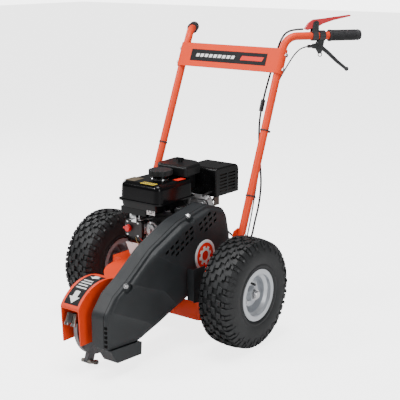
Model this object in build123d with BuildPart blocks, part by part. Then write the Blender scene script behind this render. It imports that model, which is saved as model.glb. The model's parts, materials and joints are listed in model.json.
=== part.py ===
"""Walk-behind stump grinder, millimetres, +Z up, +X the operator's left, -Y the way it cuts.

The origin is on the ground under the middle of the machine's overall box.
Outlines drawn on side planes are measured from the axle: first number rearward, second up.
"""
from build123d import *
from math import acos, atan2, cos, degrees, hypot, radians, sin, tan
import os

os.makedirs("parts", exist_ok=True)

# ---------------------------------------------------------------- driving dimensions
AXLE_Y = -33.0              # axle, measured from the middle of the overall box
GAP = 0.3                   # clearance between parts that move past each other
RUN = 0.05                  # radial clearance of a shaft in its bearing

TYRE_R = 190.5              # 15x6.00-6 tyre
TYRE_HALF = 66.0
RIM_R = 89.4                # rim flange
RIM_HALF = 59.0
BEAD_R = 76.2               # 6 inch bead seat
TRACK_HALF = 309.0
AXLE_Z = TYRE_R
AXLE_R = 12.7
AXLE_HALF = 366.0

DECK_HALF = 200.0
DECK_FRONT = -109.0
DECK_REAR = 115.0
DECK_BOTTOM = 92.0
DECK_TOP = 250.0
SHEET = 5.0                 # frame sheet

GUARD_X = 16.0              # middle plane of the cutter and its guard
GUARD_HALF = 40.0
GUARD_R = 147.0             # arch of the guard
GUARD_Y = -415.0
GUARD_Z = 143.0
GUARD_FRONT = -538.0
GUARD_REAR = -311.0
GUARD_BOTTOM = 100.0

CUTTER_Y = -410.0
CUTTER_Z = 137.0
SHAFT_R = 12.5
DISC_R = 105.0
DISC_T = 16.0
TIP_R = 140.0               # path of the tooth tips
TOOTH_R = 6.5
TOOTH_L = 40.0
TIP_CAP_R = 8.5
TIP_CAP_L = 10.0
TEETH_AROUND = 4

ENGINE_Y = 10.0
CRANK_Z = 350.0
CRANK_R = 12.5
PTO_X = 84.0                # face that the belt cover stands off

PAN_X = 88.0                # belt cover: back of the inner pan
SEAM_X = 140.0              # seam between pan and outer shell
SHELL_X = 172.0             # outer face of the shell
COVER_WALL = 3.0

BELT_X = 120.0
BELT_HALF = 8.0
ENGINE_PITCH_R = 45.0
CUTTER_PITCH_R = 41.0

TUBE_R = 14.0               # handle tube
TUBE_WALL = 2.0
FOOT = (222.0, 70.0, 268.0)
PLATE_LOW = (216.0, 320.0, 893.0)
ELBOW = (216.0, 371.6, 1022.0)
SLANT = (0.0, 0.3714, 0.9285)
FLARE = 35.0                # grips turn outward from straight back
RUN_L = 285.0               # elbow to tube end
GRIP_START = 165.0
GRIP_R = 17.0


# ---------------------------------------------------------------- planes and small helpers
def at(x, y, z):
    """A point from its place beside the axle."""
    return Vector(x, AXLE_Y + y, z)


def side(x):
    """Side plane at x, looking inward from the left: local (rearward, up), normal +X."""
    return Plane(origin=(x, AXLE_Y, 0), x_dir=(0, 1, 0), z_dir=(1, 0, 0))


def plan(z):
    """Level plane at z: local (left, rearward), normal up."""
    return Plane(origin=(0, AXLE_Y, z), x_dir=(1, 0, 0), z_dir=(0, 0, 1))


def facing(y):
    """Upright plane across the machine: local (left, up), normal forward."""
    return Plane(origin=(0, AXLE_Y + y, 0), x_dir=(1, 0, 0), z_dir=(0, -1, 0))


def spin_plane(y, z):
    """Plane for a revolved profile about a cross shaft: local (along +X, outward)."""
    return Plane(origin=at(0, y, z), x_dir=(1, 0, 0), z_dir=(0, -1, 0))


def spin_axis(y, z):
    return Axis(tuple(at(0, y, z)), (1, 0, 0))


def corner_radii(points, share=0.45):
    """The largest tangent arcs that fit the runs on each side of every inner corner."""
    radii = []
    for before, here, after in zip(points, points[1:], points[2:]):
        run_in = here - before
        run_out = after - here
        turn = radians(run_in.get_angle(run_out))
        radii.append(share * min(run_in.length, run_out.length) / tan(turn / 2))
    return radii


def report_tube(name, part, radius, points, radii):
    """Print the radii and compare the tube's volume with its section times its length."""
    path = FilletPolyline(*points, radius=radii)
    expected = 3.14159265 * radius ** 2 * path.length
    print(name, "length", round(path.length), "volume ratio", round(part.volume / expected, 4),
          "radii", [round(r) for r in radii])


# ================================================================ frame
EAR_T = 6.0
EAR = [(20, 205), (118, 205), (132, 352), (112, 374), (84, 366), (58, 290), (20, 262)]
FOOT_BOLT_Z = (300.0, 350.0)
FOOT_BOLT_R = 5.0
ENGINE_FOOT_X = (-64.0, 64.0)
ENGINE_FOOT_Y = (-76.0, 84.0)
ENGINE_BOLT_R = 4.0
POCKET = (84.0, 180.0, -112.0, -54.0, 156.0)     # belt cover belly: x, x, y, y, z


def foot_bolt_places():
    """Bolt centres on the slanting foot of a handle tube, as (rearward, up)."""
    slope = SLANT[1] / SLANT[2]
    return [(FOOT[1] + slope * (z - FOOT[2]), z) for z in FOOT_BOLT_Z]


with BuildPart() as frame_deck:
    deck_mid = (DECK_FRONT + DECK_REAR) / 2
    deck_len = DECK_REAR - DECK_FRONT
    with BuildSketch(plan(DECK_BOTTOM)):
        with Locations((0, deck_mid)):
            RectangleRounded(2 * DECK_HALF, deck_len, 12)
    extrude(amount=DECK_TOP - DECK_BOTTOM)
    with BuildSketch(plan(DECK_BOTTOM)):
        with Locations((0, deck_mid)):
            RectangleRounded(2 * (DECK_HALF - SHEET), deck_len - 2 * SHEET, 7)
    extrude(amount=DECK_TOP - DECK_BOTTOM - SHEET, mode=Mode.SUBTRACT)
    with BuildSketch(side(DECK_HALF)):
        with BuildLine():
            FilletPolyline(*EAR, radius=8, close=True)
        make_face()
    extrude(amount=EAR_T)
    with BuildSketch(side(-DECK_HALF)):
        with BuildLine():
            FilletPolyline(*EAR, radius=8, close=True)
        make_face()
    extrude(amount=-EAR_T)
    with BuildSketch(side(-DECK_HALF - 2 * EAR_T)):
        with Locations((0, AXLE_Z)):
            Circle(AXLE_R)
        with Locations(*foot_bolt_places()):
            Circle(FOOT_BOLT_R)
    extrude(amount=2 * DECK_HALF + 4 * EAR_T, mode=Mode.SUBTRACT)
    with BuildSketch(plan(DECK_TOP - 2 * SHEET)):
        with Locations(*[(x, y) for x in ENGINE_FOOT_X for y in ENGINE_FOOT_Y]):
            Circle(ENGINE_BOLT_R)
    extrude(amount=3 * SHEET, mode=Mode.SUBTRACT)
    with BuildSketch(plan(POCKET[4])):
        with Locations(((POCKET[0] + POCKET[1]) / 2, (POCKET[2] + POCKET[3]) / 2)):
            Rectangle(POCKET[1] - POCKET[0], POCKET[3] - POCKET[2])
    extrude(amount=DECK_TOP - POCKET[4] + 1, mode=Mode.SUBTRACT)
frame_deck.part.label = "frame_deck"
export_step(frame_deck.part, "parts/frame_deck.step")


GUARD_RIGHT = GUARD_X - GUARD_HALF
GUARD_LEFT = GUARD_X + GUARD_HALF
ARM_BOTTOM = 96.0
BULKHEAD_Y = -258.0

with BuildPart() as frame_arm:
    with BuildSketch(plan(DECK_TOP - SHEET)):
        with BuildLine():
            Polyline((GUARD_RIGHT, DECK_FRONT), (GUARD_RIGHT, GUARD_REAR), (GUARD_LEFT, GUARD_REAR),
                     (GUARD_LEFT + 24, -240), (GUARD_LEFT + 24, DECK_FRONT), (GUARD_RIGHT, DECK_FRONT))
        make_face()
        with BuildLine():
            flare_front = (GUARD_RIGHT, GUARD_REAR)
            ThreePointArc(flare_front, (-121, -226), (-148, DECK_FRONT))
            Polyline((-148, DECK_FRONT), (GUARD_RIGHT, DECK_FRONT), flare_front)
        make_face()
    extrude(amount=SHEET)
    for web_x in (GUARD_RIGHT, GUARD_LEFT - SHEET):
        with BuildSketch(side(web_x)):
            with BuildLine():
                Polyline((GUARD_REAR, ARM_BOTTOM + 10), (GUARD_REAR, DECK_TOP - SHEET),
                         (DECK_FRONT, DECK_TOP - SHEET),
                         (DECK_FRONT, ARM_BOTTOM), (GUARD_REAR + 30, ARM_BOTTOM), close=True)
            make_face()
        extrude(amount=SHEET)
    with BuildSketch(side(GUARD_RIGHT)):
        with Locations((BULKHEAD_Y + SHEET / 2, (ARM_BOTTOM + DECK_TOP) / 2)):
            Rectangle(SHEET, DECK_TOP - ARM_BOTTOM)
    extrude(amount=2 * GUARD_HALF)
frame_arm.part.label = "frame_arm"
export_step(frame_arm.part, "parts/frame_arm.step")


BEARING_PCD = 66.0
BEARING_BOLT_R = 4.0

with BuildPart() as cutter_guard:
    front_z = GUARD_Z + (GUARD_R ** 2 - (GUARD_FRONT - GUARD_Y) ** 2) ** 0.5
    rear_z = GUARD_Z + (GUARD_R ** 2 - (GUARD_REAR - GUARD_Y) ** 2) ** 0.5
    front_low = (GUARD_FRONT + 6, GUARD_BOTTOM)
    with BuildSketch(side(GUARD_RIGHT)):
        with BuildLine():
            Line(front_low, (GUARD_FRONT, front_z))
            ThreePointArc((GUARD_FRONT, front_z), (GUARD_Y, GUARD_Z + GUARD_R), (GUARD_REAR, rear_z))
            Polyline((GUARD_REAR, rear_z), (GUARD_REAR, GUARD_BOTTOM + 6), (GUARD_REAR - 60, GUARD_BOTTOM),
                     front_low)
        make_face()
    extrude(amount=2 * GUARD_HALF)
    with BuildSketch(side(GUARD_RIGHT + SHEET)):
        with Locations((GUARD_Y, GUARD_Z)):
            Circle(GUARD_R - SHEET)
        with Locations(((GUARD_FRONT + GUARD_REAR) / 2, GUARD_Z / 2)):
            Rectangle(GUARD_REAR - GUARD_FRONT + 60, GUARD_Z)
    extrude(amount=2 * (GUARD_HALF - SHEET), mode=Mode.SUBTRACT)
    with BuildSketch(side(GUARD_RIGHT - 1)):
        with Locations((CUTTER_Y, CUTTER_Z)):
            Circle(20)
            with PolarLocations(BEARING_PCD / 2, 2, start_angle=45):
                Circle(BEARING_BOLT_R)
    extrude(amount=2 * GUARD_HALF + 2, mode=Mode.SUBTRACT)
cutter_guard.part.label = "cutter_guard"
export_step(cutter_guard.part, "parts/cutter_guard.step")


# ================================================================ axle and wheels
with BuildPart() as axle:
    with BuildSketch(side(-AXLE_HALF)):
        with Locations((0, AXLE_Z)):
            Circle(AXLE_R)
    extrude(amount=2 * AXLE_HALF)
    chamfer(axle.faces().filter_by(Axis.X).edges(), 1.5)
axle.part.label = "axle"
export_step(axle.part, "parts/axle.step")

HUB_R = 22.0
HUB_IN = 262.0
HUB_OUT = 352.0
BACKPLATE_X = 237.0
BACKPLATE_T = 4.0

with BuildPart() as axle_washers:
    for x0, x1, r in ((HUB_OUT + GAP, HUB_OUT + 3, 19.0),
                      (BACKPLATE_X + BACKPLATE_T + GAP, HUB_IN - GAP, 17.5)):
        for sign in (1, -1):
            with BuildSketch(side(sign * x0)):
                with Locations((0, AXLE_Z)):
                    Circle(r)
                    Circle(AXLE_R, mode=Mode.SUBTRACT)
            extrude(amount=sign * (x1 - x0))
    for sign in (1, -1):
        with BuildSketch(side(sign * (HUB_OUT + 4))):
            with Locations((0, AXLE_Z)):
                Circle(16.5)
                Circle(AXLE_R, mode=Mode.SUBTRACT)
        extrude(amount=sign * 4.5)
axle_washers.part.label = "axle_washers"
export_step(axle_washers.part, "parts/axle_washers.step")


def tyre_solid(centre_x):
    """Carcass ring, open on the inside where the rim closes it."""
    with BuildPart() as ring:
        with BuildSketch(spin_plane(0, AXLE_Z)):
            with BuildLine():
                outer = [(RIM_HALF - 3.1, BEAD_R + 0.05), (RIM_HALF - 3.1, RIM_R + 2)]
                Polyline(*[(centre_x + x, r) for x, r in outer])
                ThreePointArc((centre_x + RIM_HALF - 3.1, RIM_R + 2), (centre_x + TYRE_HALF, 136),
                              (centre_x + 58, 178))
                Polyline((centre_x + 58, 178), (centre_x + 47, TYRE_R), (centre_x - 47, TYRE_R),
                         (centre_x - 58, 178))
                ThreePointArc((centre_x - 58, 178), (centre_x - TYRE_HALF, 136),
                              (centre_x - RIM_HALF + 3.1, RIM_R + 2))
                Polyline((centre_x - RIM_HALF + 3.1, RIM_R + 2), (centre_x - RIM_HALF + 3.1, BEAD_R + 0.05),
                         (centre_x - 46, BEAD_R + 0.05), (centre_x - 46, 90))
                ThreePointArc((centre_x - 46, 90), (centre_x - 56, 134), (centre_x - 46, 172))
                Polyline((centre_x - 46, 172), (centre_x + 46, 172))
                ThreePointArc((centre_x + 46, 172), (centre_x + 56, 134), (centre_x + 46, 90))
                Polyline((centre_x + 46, 90), (centre_x + 46, BEAD_R + 0.05),
                         (centre_x + RIM_HALF - 3.1, BEAD_R + 0.05))
            make_face()
        revolve(axis=spin_axis(0, AXLE_Z))
    return ring


def rim_solid(sign):
    """Stepped steel rim with its disc and hub tube, open towards the outer side."""
    def p(x, r):
        return (sign * (TRACK_HALF + x), r)

    with BuildPart() as rim:
        with BuildSketch(spin_plane(0, AXLE_Z)):
            with BuildLine():
                Polyline(p(RIM_HALF, RIM_R), p(RIM_HALF - 3, RIM_R), p(RIM_HALF - 3, BEAD_R), p(44, BEAD_R),
                         p(36, 66), p(-34, 66), p(-44, BEAD_R), p(-RIM_HALF + 3, BEAD_R),
                         p(-RIM_HALF + 3, RIM_R),
                         p(-RIM_HALF, RIM_R), p(-RIM_HALF, BEAD_R - 3), p(-45, BEAD_R - 3), p(-36, 63),
                         p(6, 63), p(6, 48), p(22, 42), p(22, 30), p(16, HUB_R),
                         p(HUB_IN - TRACK_HALF, HUB_R),
                         p(HUB_IN - TRACK_HALF, AXLE_R + RUN), p(HUB_OUT - TRACK_HALF, AXLE_R + RUN),
                         p(HUB_OUT - TRACK_HALF, HUB_R), p(20, HUB_R), p(26, 28), p(26, 44), p(9, 52),
                         p(9, 63),
                         p(38, 63), p(46, BEAD_R - 3), p(RIM_HALF, BEAD_R - 3), close=True)
            make_face()
        revolve(axis=spin_axis(0, AXLE_Z))
    return rim


tyre_left = tyre_solid(TRACK_HALF)
tyre_left.part.label = "tyre_left"
export_step(tyre_left.part, "parts/tyre_left.step")
tyre_right = tyre_solid(-TRACK_HALF)
tyre_right.part.label = "tyre_right"
export_step(tyre_right.part, "parts/tyre_right.step")
rim_left = rim_solid(1)
rim_left.part.label = "rim_left"
export_step(rim_left.part, "parts/rim_left.step")
rim_right = rim_solid(-1)
rim_right.part.label = "rim_right"
export_step(rim_right.part, "parts/rim_right.step")


# ================================================================ wheel brake, left side
DRUM_IN_R = 50.0
BRAKE_ARM_PIVOT = (28.0, 226.0)
BRAKE_ARM_TOP = (30.0, 252.0)
BRAKE_PIN_R = 4.0
BRAKE_ARM_X = 228.0

with BuildPart() as brake_drum:
    with BuildSketch(spin_plane(0, AXLE_Z)):
        with BuildLine():
            Polyline((246, DRUM_IN_R), (246, DRUM_IN_R + 6), (288, DRUM_IN_R + 6), (288, HUB_R), (283, HUB_R),
                     (283, DRUM_IN_R), close=True)
        make_face()
    revolve(axis=spin_axis(0, AXLE_Z))
brake_drum.part.label = "brake_drum"
export_step(brake_drum.part, "parts/brake_drum.step")

with BuildPart() as brake_backplate:
    with BuildSketch(side(BACKPLATE_X)):
        with Locations((0, AXLE_Z)):
            Circle(58)
            Circle(AXLE_R, mode=Mode.SUBTRACT)
    extrude(amount=BACKPLATE_T)
    with BuildSketch(side(BACKPLATE_X + BACKPLATE_T)):
        with Locations((0, AXLE_Z)):
            Circle(DRUM_IN_R - 0.6)
            Circle(DRUM_IN_R - 8, mode=Mode.SUBTRACT)
            Rectangle(2 * DRUM_IN_R, 26, mode=Mode.SUBTRACT)
    extrude(amount=34)
    with BuildSketch(side(BRAKE_ARM_X - 3)):
        with Locations(BRAKE_ARM_PIVOT):
            Circle(BRAKE_PIN_R)
    extrude(amount=BACKPLATE_X - BRAKE_ARM_X + 3)
    with BuildSketch(side(DECK_HALF)):
        with Locations((-24, 176)):
            Circle(7)
    extrude(amount=BACKPLATE_X - DECK_HALF)
brake_backplate.part.label = "brake_backplate"
export_step(brake_backplate.part, "parts/brake_backplate.step")

with BuildPart() as brake_arm:
    with BuildSketch(side(BRAKE_ARM_X)):
        with Locations(BRAKE_ARM_PIVOT):
            Circle(9)
        with Locations(BRAKE_ARM_TOP):
            Circle(7)
        with Locations(((BRAKE_ARM_PIVOT[0] + BRAKE_ARM_TOP[0]) / 2,
                        (BRAKE_ARM_PIVOT[1] + BRAKE_ARM_TOP[1]) / 2)):
            Rectangle(12, 26)
        with Locations(BRAKE_ARM_PIVOT):
            Circle(BRAKE_PIN_R + RUN, mode=Mode.SUBTRACT)
        with Locations(BRAKE_ARM_TOP):
            Circle(2.5, mode=Mode.SUBTRACT)
    extrude(amount=4)
brake_arm.part.label = "brake_arm"
export_step(brake_arm.part, "parts/brake_arm.step")


# ================================================================ handle
def mirrored(point, sign):
    return at(sign * point[0], point[1], point[2])


def along_run(sign, distance, height=0.0, outward=0.0):
    """A point beside the level run of a handle tube: outward is square to it, away from the other tube."""
    angle = radians(FLARE)
    x = ELBOW[0] + distance * sin(angle) + outward * cos(angle)
    y = ELBOW[1] + distance * cos(angle) - outward * sin(angle)
    return at(sign * x, y, ELBOW[2] + height)


def run_direction(sign):
    angle = radians(FLARE)
    return Vector(sign * sin(angle), cos(angle), 0)


PLATE_BOLT_UP = (16.0, 70.0)      # along the slant, from the lower edge of the cross plate
PLATE_BOLT_R = 4.0


def slant_point(sign, along):
    """A point on the straight upper part of a handle tube."""
    return at(sign * PLATE_LOW[0], PLATE_LOW[1] + along * SLANT[1], PLATE_LOW[2] + along * SLANT[2])


def handle_tube(sign):
    """One bent tube from its bolted foot to the end inside the grip."""
    points = [mirrored(FOOT, sign), mirrored(PLATE_LOW, sign), mirrored(ELBOW, sign), along_run(sign, RUN_L)]
    with BuildPart() as tube:
        with BuildLine() as path:
            FilletPolyline(*points, radius=[400, 60])
        start = Plane(origin=path.line @ 0, z_dir=path.line % 0)
        with BuildSketch(start):
            Circle(TUBE_R)
            Circle(TUBE_R - TUBE_WALL, mode=Mode.SUBTRACT)
        sweep()
        with BuildSketch(side(-300)):
            with Locations(*foot_bolt_places()):
                Circle(FOOT_BOLT_R)
            with Locations(*[(PLATE_LOW[1] + a * SLANT[1],
                              PLATE_LOW[2] + a * SLANT[2]) for a in PLATE_BOLT_UP]):
                Circle(PLATE_BOLT_R)
        extrude(amount=600, mode=Mode.SUBTRACT)
    return tube


handle_tube_left = handle_tube(1)
handle_tube_left.part.label = "handle_tube_left"
export_step(handle_tube_left.part, "parts/handle_tube_left.step")
handle_tube_right = handle_tube(-1)
handle_tube_right.part.label = "handle_tube_right"
export_step(handle_tube_right.part, "parts/handle_tube_right.step")

PLATE_T = 4.0
PLATE_H = 90.0
WRAP_GAP = 0.4

with BuildPart() as handle_brace:
    wrap_in = TUBE_R + WRAP_GAP
    wrap_out = wrap_in + PLATE_T
    brace_plane = Plane(origin=at(0, PLATE_LOW[1], PLATE_LOW[2]), x_dir=(1, 0, 0), z_dir=SLANT)
    with BuildSketch(brace_plane):
        with Locations((0, -(wrap_in + wrap_out) / 2)):
            Rectangle(2 * PLATE_LOW[0], PLATE_T)
        for sign in (1, -1):
            with BuildLine():
                x0 = sign * PLATE_LOW[0]
                rise = radians(25)
                tip_in = (x0 + sign * wrap_in * cos(rise), wrap_in * sin(rise))
                tip_out = (x0 + sign * wrap_out * cos(rise), wrap_out * sin(rise))
                mid_in = (x0 + sign * wrap_in * cos(radians(-40)), wrap_in * sin(radians(-40)))
                mid_out = (x0 + sign * wrap_out * cos(radians(-40)), wrap_out * sin(radians(-40)))
                ThreePointArc((x0, -wrap_in), mid_in, tip_in)
                Line(tip_in, tip_out)
                ThreePointArc(tip_out, mid_out, (x0, -wrap_out))
                Line((x0, -wrap_out), (x0, -wrap_in))
            make_face()
    extrude(amount=PLATE_H)
    with BuildSketch(side(-300)):
        with Locations(*[(PLATE_LOW[1] + a * SLANT[1], PLATE_LOW[2] + a * SLANT[2]) for a in PLATE_BOLT_UP]):
            Circle(PLATE_BOLT_R)
    extrude(amount=600, mode=Mode.SUBTRACT)
handle_brace.part.label = "handle_brace"
export_step(handle_brace.part, "parts/handle_brace.step")


def cross_bolt(sign, y, z, head_x, nut_x, radius, hex_r, thick):
    """A bolt along X with a hexagon head at head_x and a nut at nut_x, both measured outward."""
    with BuildSketch(side(sign * head_x)) as shank:
        with Locations((y, z)):
            Circle(radius)
    extrude(shank.sketch, amount=sign * (nut_x - head_x + thick + 1), dir=(1, 0, 0))
    for x0 in (head_x - thick, nut_x):
        with BuildSketch(side(sign * x0)) as hexagon:
            with Locations((y, z)):
                RegularPolygon(hex_r, 6)
        extrude(hexagon.sketch, amount=sign * thick, dir=(1, 0, 0))


with BuildPart() as frame_bolts:
    for sign in (1, -1):
        for along in PLATE_BOLT_UP:
            spot = slant_point(sign, along)
            inner = PLATE_LOW[0] - TUBE_R - 0.6
            outer = PLATE_LOW[0] + TUBE_R + WRAP_GAP + PLATE_T + 0.2
            cross_bolt(sign, spot.Y - AXLE_Y, spot.Z, inner, outer, PLATE_BOLT_R, 7.5, 5)
        for y, z in foot_bolt_places():
            cross_bolt(sign, y, z, DECK_HALF - 0.2, FOOT[0] + TUBE_R + 0.2, FOOT_BOLT_R, 8.5, 4)
    for x in ENGINE_FOOT_X:
        for y in ENGINE_FOOT_Y:
            with BuildSketch(plan(DECK_TOP - SHEET - 8)):
                with Locations((x, y)):
                    Circle(ENGINE_BOLT_R)
            extrude(amount=SHEET + 12 + 8)
            with BuildSketch(plan(DECK_TOP + 12)):
                with Locations((x, y)):
                    RegularPolygon(7.5, 6)
            extrude(amount=5.5)
            with BuildSketch(plan(DECK_TOP - SHEET - 7)):
                with Locations((x, y)):
                    RegularPolygon(7.5, 6)
            extrude(amount=6.5)
frame_bolts.part.label = "frame_bolts"
export_step(frame_bolts.part, "parts/frame_bolts.step")


def grip(sign):
    """Rubber grip with a flange at its inner end and a closed outer end."""
    start = Plane(origin=along_run(sign, GRIP_START), z_dir=run_direction(sign))
    length = RUN_L - GRIP_START
    with BuildPart() as sleeve:
        with BuildSketch(start):
            Circle(GRIP_R + 4)
        extrude(amount=6)
        with BuildSketch(start.offset(6)):
            Circle(GRIP_R - 1)
        with BuildSketch(start.offset(length + 3)):
            Circle(GRIP_R)
        loft()
        with BuildSketch(start):
            Circle(TUBE_R)
        extrude(amount=length, mode=Mode.SUBTRACT)
    return sleeve


grip_left = grip(1)
grip_left.part.label = "grip_left"
export_step(grip_left.part, "parts/grip_left.step")
grip_right = grip(-1)
grip_right.part.label = "grip_right"
export_step(grip_right.part, "parts/grip_right.step")


# ================================================================ controls on the left tube
def control_plane(outward=0.0):
    """Upright plane through the left run: local (along the tube from the elbow, above its axis)."""
    origin = along_run(1, 0, 0, outward)
    return Plane(origin=origin, x_dir=run_direction(1), z_dir=run_direction(1).cross(Vector(0, 0, 1)))


def clamp_ring(distance, width, radius):
    with BuildSketch(Plane(origin=along_run(1, distance), z_dir=run_direction(1))) as ring:
        Circle(radius)
        Circle(TUBE_R, mode=Mode.SUBTRACT)
    extrude(ring.sketch, amount=width)


PRESENCE_PIVOT = (112.0, 44.0)
PRESENCE_PIN_R = 4.0
PRESENCE_T = 14.0
CHEEK_T = 2.5

with BuildPart() as presence_bracket:
    clamp_ring(99, 22, TUBE_R + 4)
    for shift in (-PRESENCE_T / 2 - GAP - CHEEK_T, PRESENCE_T / 2 + GAP):
        with BuildSketch(control_plane(shift)):
            with BuildLine():
                FilletPolyline((96, 10), (124, 10), (122, 50), (112, 54), (101, 48), radius=3, close=True)
            make_face()
        extrude(amount=CHEEK_T)
    with BuildSketch(control_plane(-PRESENCE_T / 2 - 2 * CHEEK_T - GAP)):
        with Locations(PRESENCE_PIVOT):
            Circle(PRESENCE_PIN_R)
    extrude(amount=PRESENCE_T + 4 * CHEEK_T + 2 * GAP)
    with BuildSketch(Plane(origin=along_run(1, 90), z_dir=run_direction(1))):
        Circle(TUBE_R)
    extrude(amount=40, mode=Mode.SUBTRACT)
presence_bracket.part.label = "presence_bracket"
export_step(presence_bracket.part, "parts/presence_bracket.step")

with BuildPart() as presence_lever:
    with BuildSketch(control_plane(-PRESENCE_T / 2)):
        with BuildLine():
            FilletPolyline((70, 24), (84, 44), (104, 57), (140, 60), (246, 72), (247, 67), (180, 54),
                           (140, 42),
                           (122, 33), (96, 27), (82, 20), radius=2.2, close=True)
        make_face()
        with Locations(PRESENCE_PIVOT):
            Circle(PRESENCE_PIN_R + RUN, mode=Mode.SUBTRACT)
    extrude(amount=PRESENCE_T)
presence_lever.part.label = "presence_lever"
export_step(presence_lever.part, "parts/presence_lever.step")

BRAKE_CABLE_R = 2.5
BRAKE_PIVOT = (126.0, -36.0)
BRAKE_BALL = (240.0, -122.0)
BRAKE_LEVER_T = 8.0
LATCH_PIVOT = (132.0, -56.0)
LATCH_T = 2.0
LATCH_FACE = -BRAKE_LEVER_T / 2 - CHEEK_T - 2 * GAP

with BuildPart() as brake_perch:
    clamp_ring(126, 22, TUBE_R + 5)
    for shift in (-BRAKE_LEVER_T / 2 - GAP - CHEEK_T, BRAKE_LEVER_T / 2 + GAP):
        with BuildSketch(control_plane(shift)):
            with BuildLine():
                FilletPolyline((127, -10), (148, -10), (142, -44), (136, -64), (128, -64), (117, -46),
                               (104, -46),
                               (104, -28), (116, -28), radius=3, close=True)
            make_face()
        extrude(amount=CHEEK_T)
    with BuildSketch(control_plane(-BRAKE_LEVER_T / 2 - 2 * CHEEK_T - GAP)):
        with Locations(BRAKE_PIVOT):
            Circle(4)
    extrude(amount=BRAKE_LEVER_T + 4 * CHEEK_T + 2 * GAP)
    with BuildSketch(control_plane(LATCH_FACE - LATCH_T - 1)):
        with Locations(LATCH_PIVOT):
            Circle(2)
    extrude(amount=LATCH_T + 1 + CHEEK_T)
    with BuildSketch(Plane(origin=along_run(1, 109, -37), z_dir=run_direction(1))):
        Circle(6)
        Circle(BRAKE_CABLE_R, mode=Mode.SUBTRACT)
    extrude(amount=-24)
    with BuildSketch(Plane(origin=along_run(1, 110), z_dir=run_direction(1))):
        Circle(TUBE_R)
    extrude(amount=44, mode=Mode.SUBTRACT)
brake_perch.part.label = "brake_perch"
export_step(brake_perch.part, "parts/brake_perch.step")

with BuildPart() as brake_lever:
    with BuildSketch(control_plane(-BRAKE_LEVER_T / 2)):
        with BuildLine():
            FilletPolyline((119, -34), (126, -27), (140, -34), (166, -54), (206, -90), (240, -116),
                           (236, -126),
                           (200, -100), (160, -66), (136, -48), (124, -44), radius=3, close=True)
        make_face()
        with Locations(BRAKE_PIVOT):
            Circle(4 + RUN, mode=Mode.SUBTRACT)
    extrude(amount=BRAKE_LEVER_T)
    with BuildSketch(control_plane()):
        with BuildLine():
            tip = Vector(*BRAKE_BALL)
            Line((tip.X, tip.Y - 8), (tip.X, tip.Y + 8))
            ThreePointArc((tip.X, tip.Y + 8), (tip.X + 8, tip.Y), (tip.X, tip.Y - 8))
        make_face()
    ball_plane = control_plane()
    ball_axis = Axis(ball_plane.from_local_coords(tip), ball_plane.y_dir)
    revolve(axis=ball_axis)
brake_lever.part.label = "brake_lever"
export_step(brake_lever.part, "parts/brake_lever.step")

with BuildPart() as brake_latch:
    with BuildSketch(control_plane(LATCH_FACE - LATCH_T)):
        with Locations(LATCH_PIVOT):
            Circle(5)
        with Locations((LATCH_PIVOT[0] + 5, LATCH_PIVOT[1] - 12)):
            Circle(8.5)
            Circle(5.5, mode=Mode.SUBTRACT)
        with Locations(LATCH_PIVOT):
            Circle(2 + RUN, mode=Mode.SUBTRACT)
    extrude(amount=LATCH_T)
brake_latch.part.label = "brake_latch"
export_step(brake_latch.part, "parts/brake_latch.step")


# ================================================================ control cables
ENGAGE_R = 3.5
ENGAGE_ROUTE = [
    along_run(1, 66, 24), along_run(1, 40, 24, -4), (212, 378, 1037), (197, 366, 1006), (192, 351, 968),
    (187, 337, 926), (178, 326, 876), (169, 312, 818), (167, 287, 742), (181, 262, 676), (200, 240, 612),
    (220, 219.5, 562), (240, 195, 512), (249, 168, 448), (246, 148, 392), (236, 146, 336), (204, 156, 306),
    (160, 162, 312), (124, 152, 342), (101, 124, 372), (97, 84, 396), (97, 30, 416), (97, -40, 428),
    (97, -100, 427),
]
BRAKE_ROUTE = [
    along_run(1, 100, -37), along_run(1, 72, -37), (240, 402, 966), (224, 370, 918), (212, 331, 864),
    (209, 302, 796), (212, 269, 716), (217, 238, 636), (220, 205, 556), (227, 173, 476), (232, 145, 404),
    (233, 124, 350), (229, 116, 302), (229, 102, 262), (230, 78, 246), (230, 48, 250),
]


def cable(route, radius):
    """A tube along straight runs joined by the largest tangent arcs."""
    points = [p if isinstance(p, Vector) else at(*p) for p in route]
    radii = corner_radii(points)
    with BuildPart() as tube:
        with BuildLine() as path:
            FilletPolyline(*points, radius=radii)
        with BuildSketch(Plane(origin=path.line @ 0, z_dir=path.line % 0)):
            Circle(radius)
        sweep()
    report_tube("cable", tube.part, radius, points, radii)
    return tube


engagement_cable = cable(ENGAGE_ROUTE, ENGAGE_R)
engagement_cable.part.label = "engagement_cable"
export_step(engagement_cable.part, "parts/engagement_cable.step")
brake_cable = cable(BRAKE_ROUTE, BRAKE_CABLE_R)
brake_cable.part.label = "brake_cable"
export_step(brake_cable.part, "parts/brake_cable.step")

JOINT_R = 8.0
JOINT_L = 42.0
TIE_W = 5.0
TIE_T = 1.5
TIE_REACH = 24.0            # the band goes this far behind the tube's axis, round the brake cable
TIES = [(1, 700.0), (1, 480.0), (-1, 615.0)]

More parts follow.
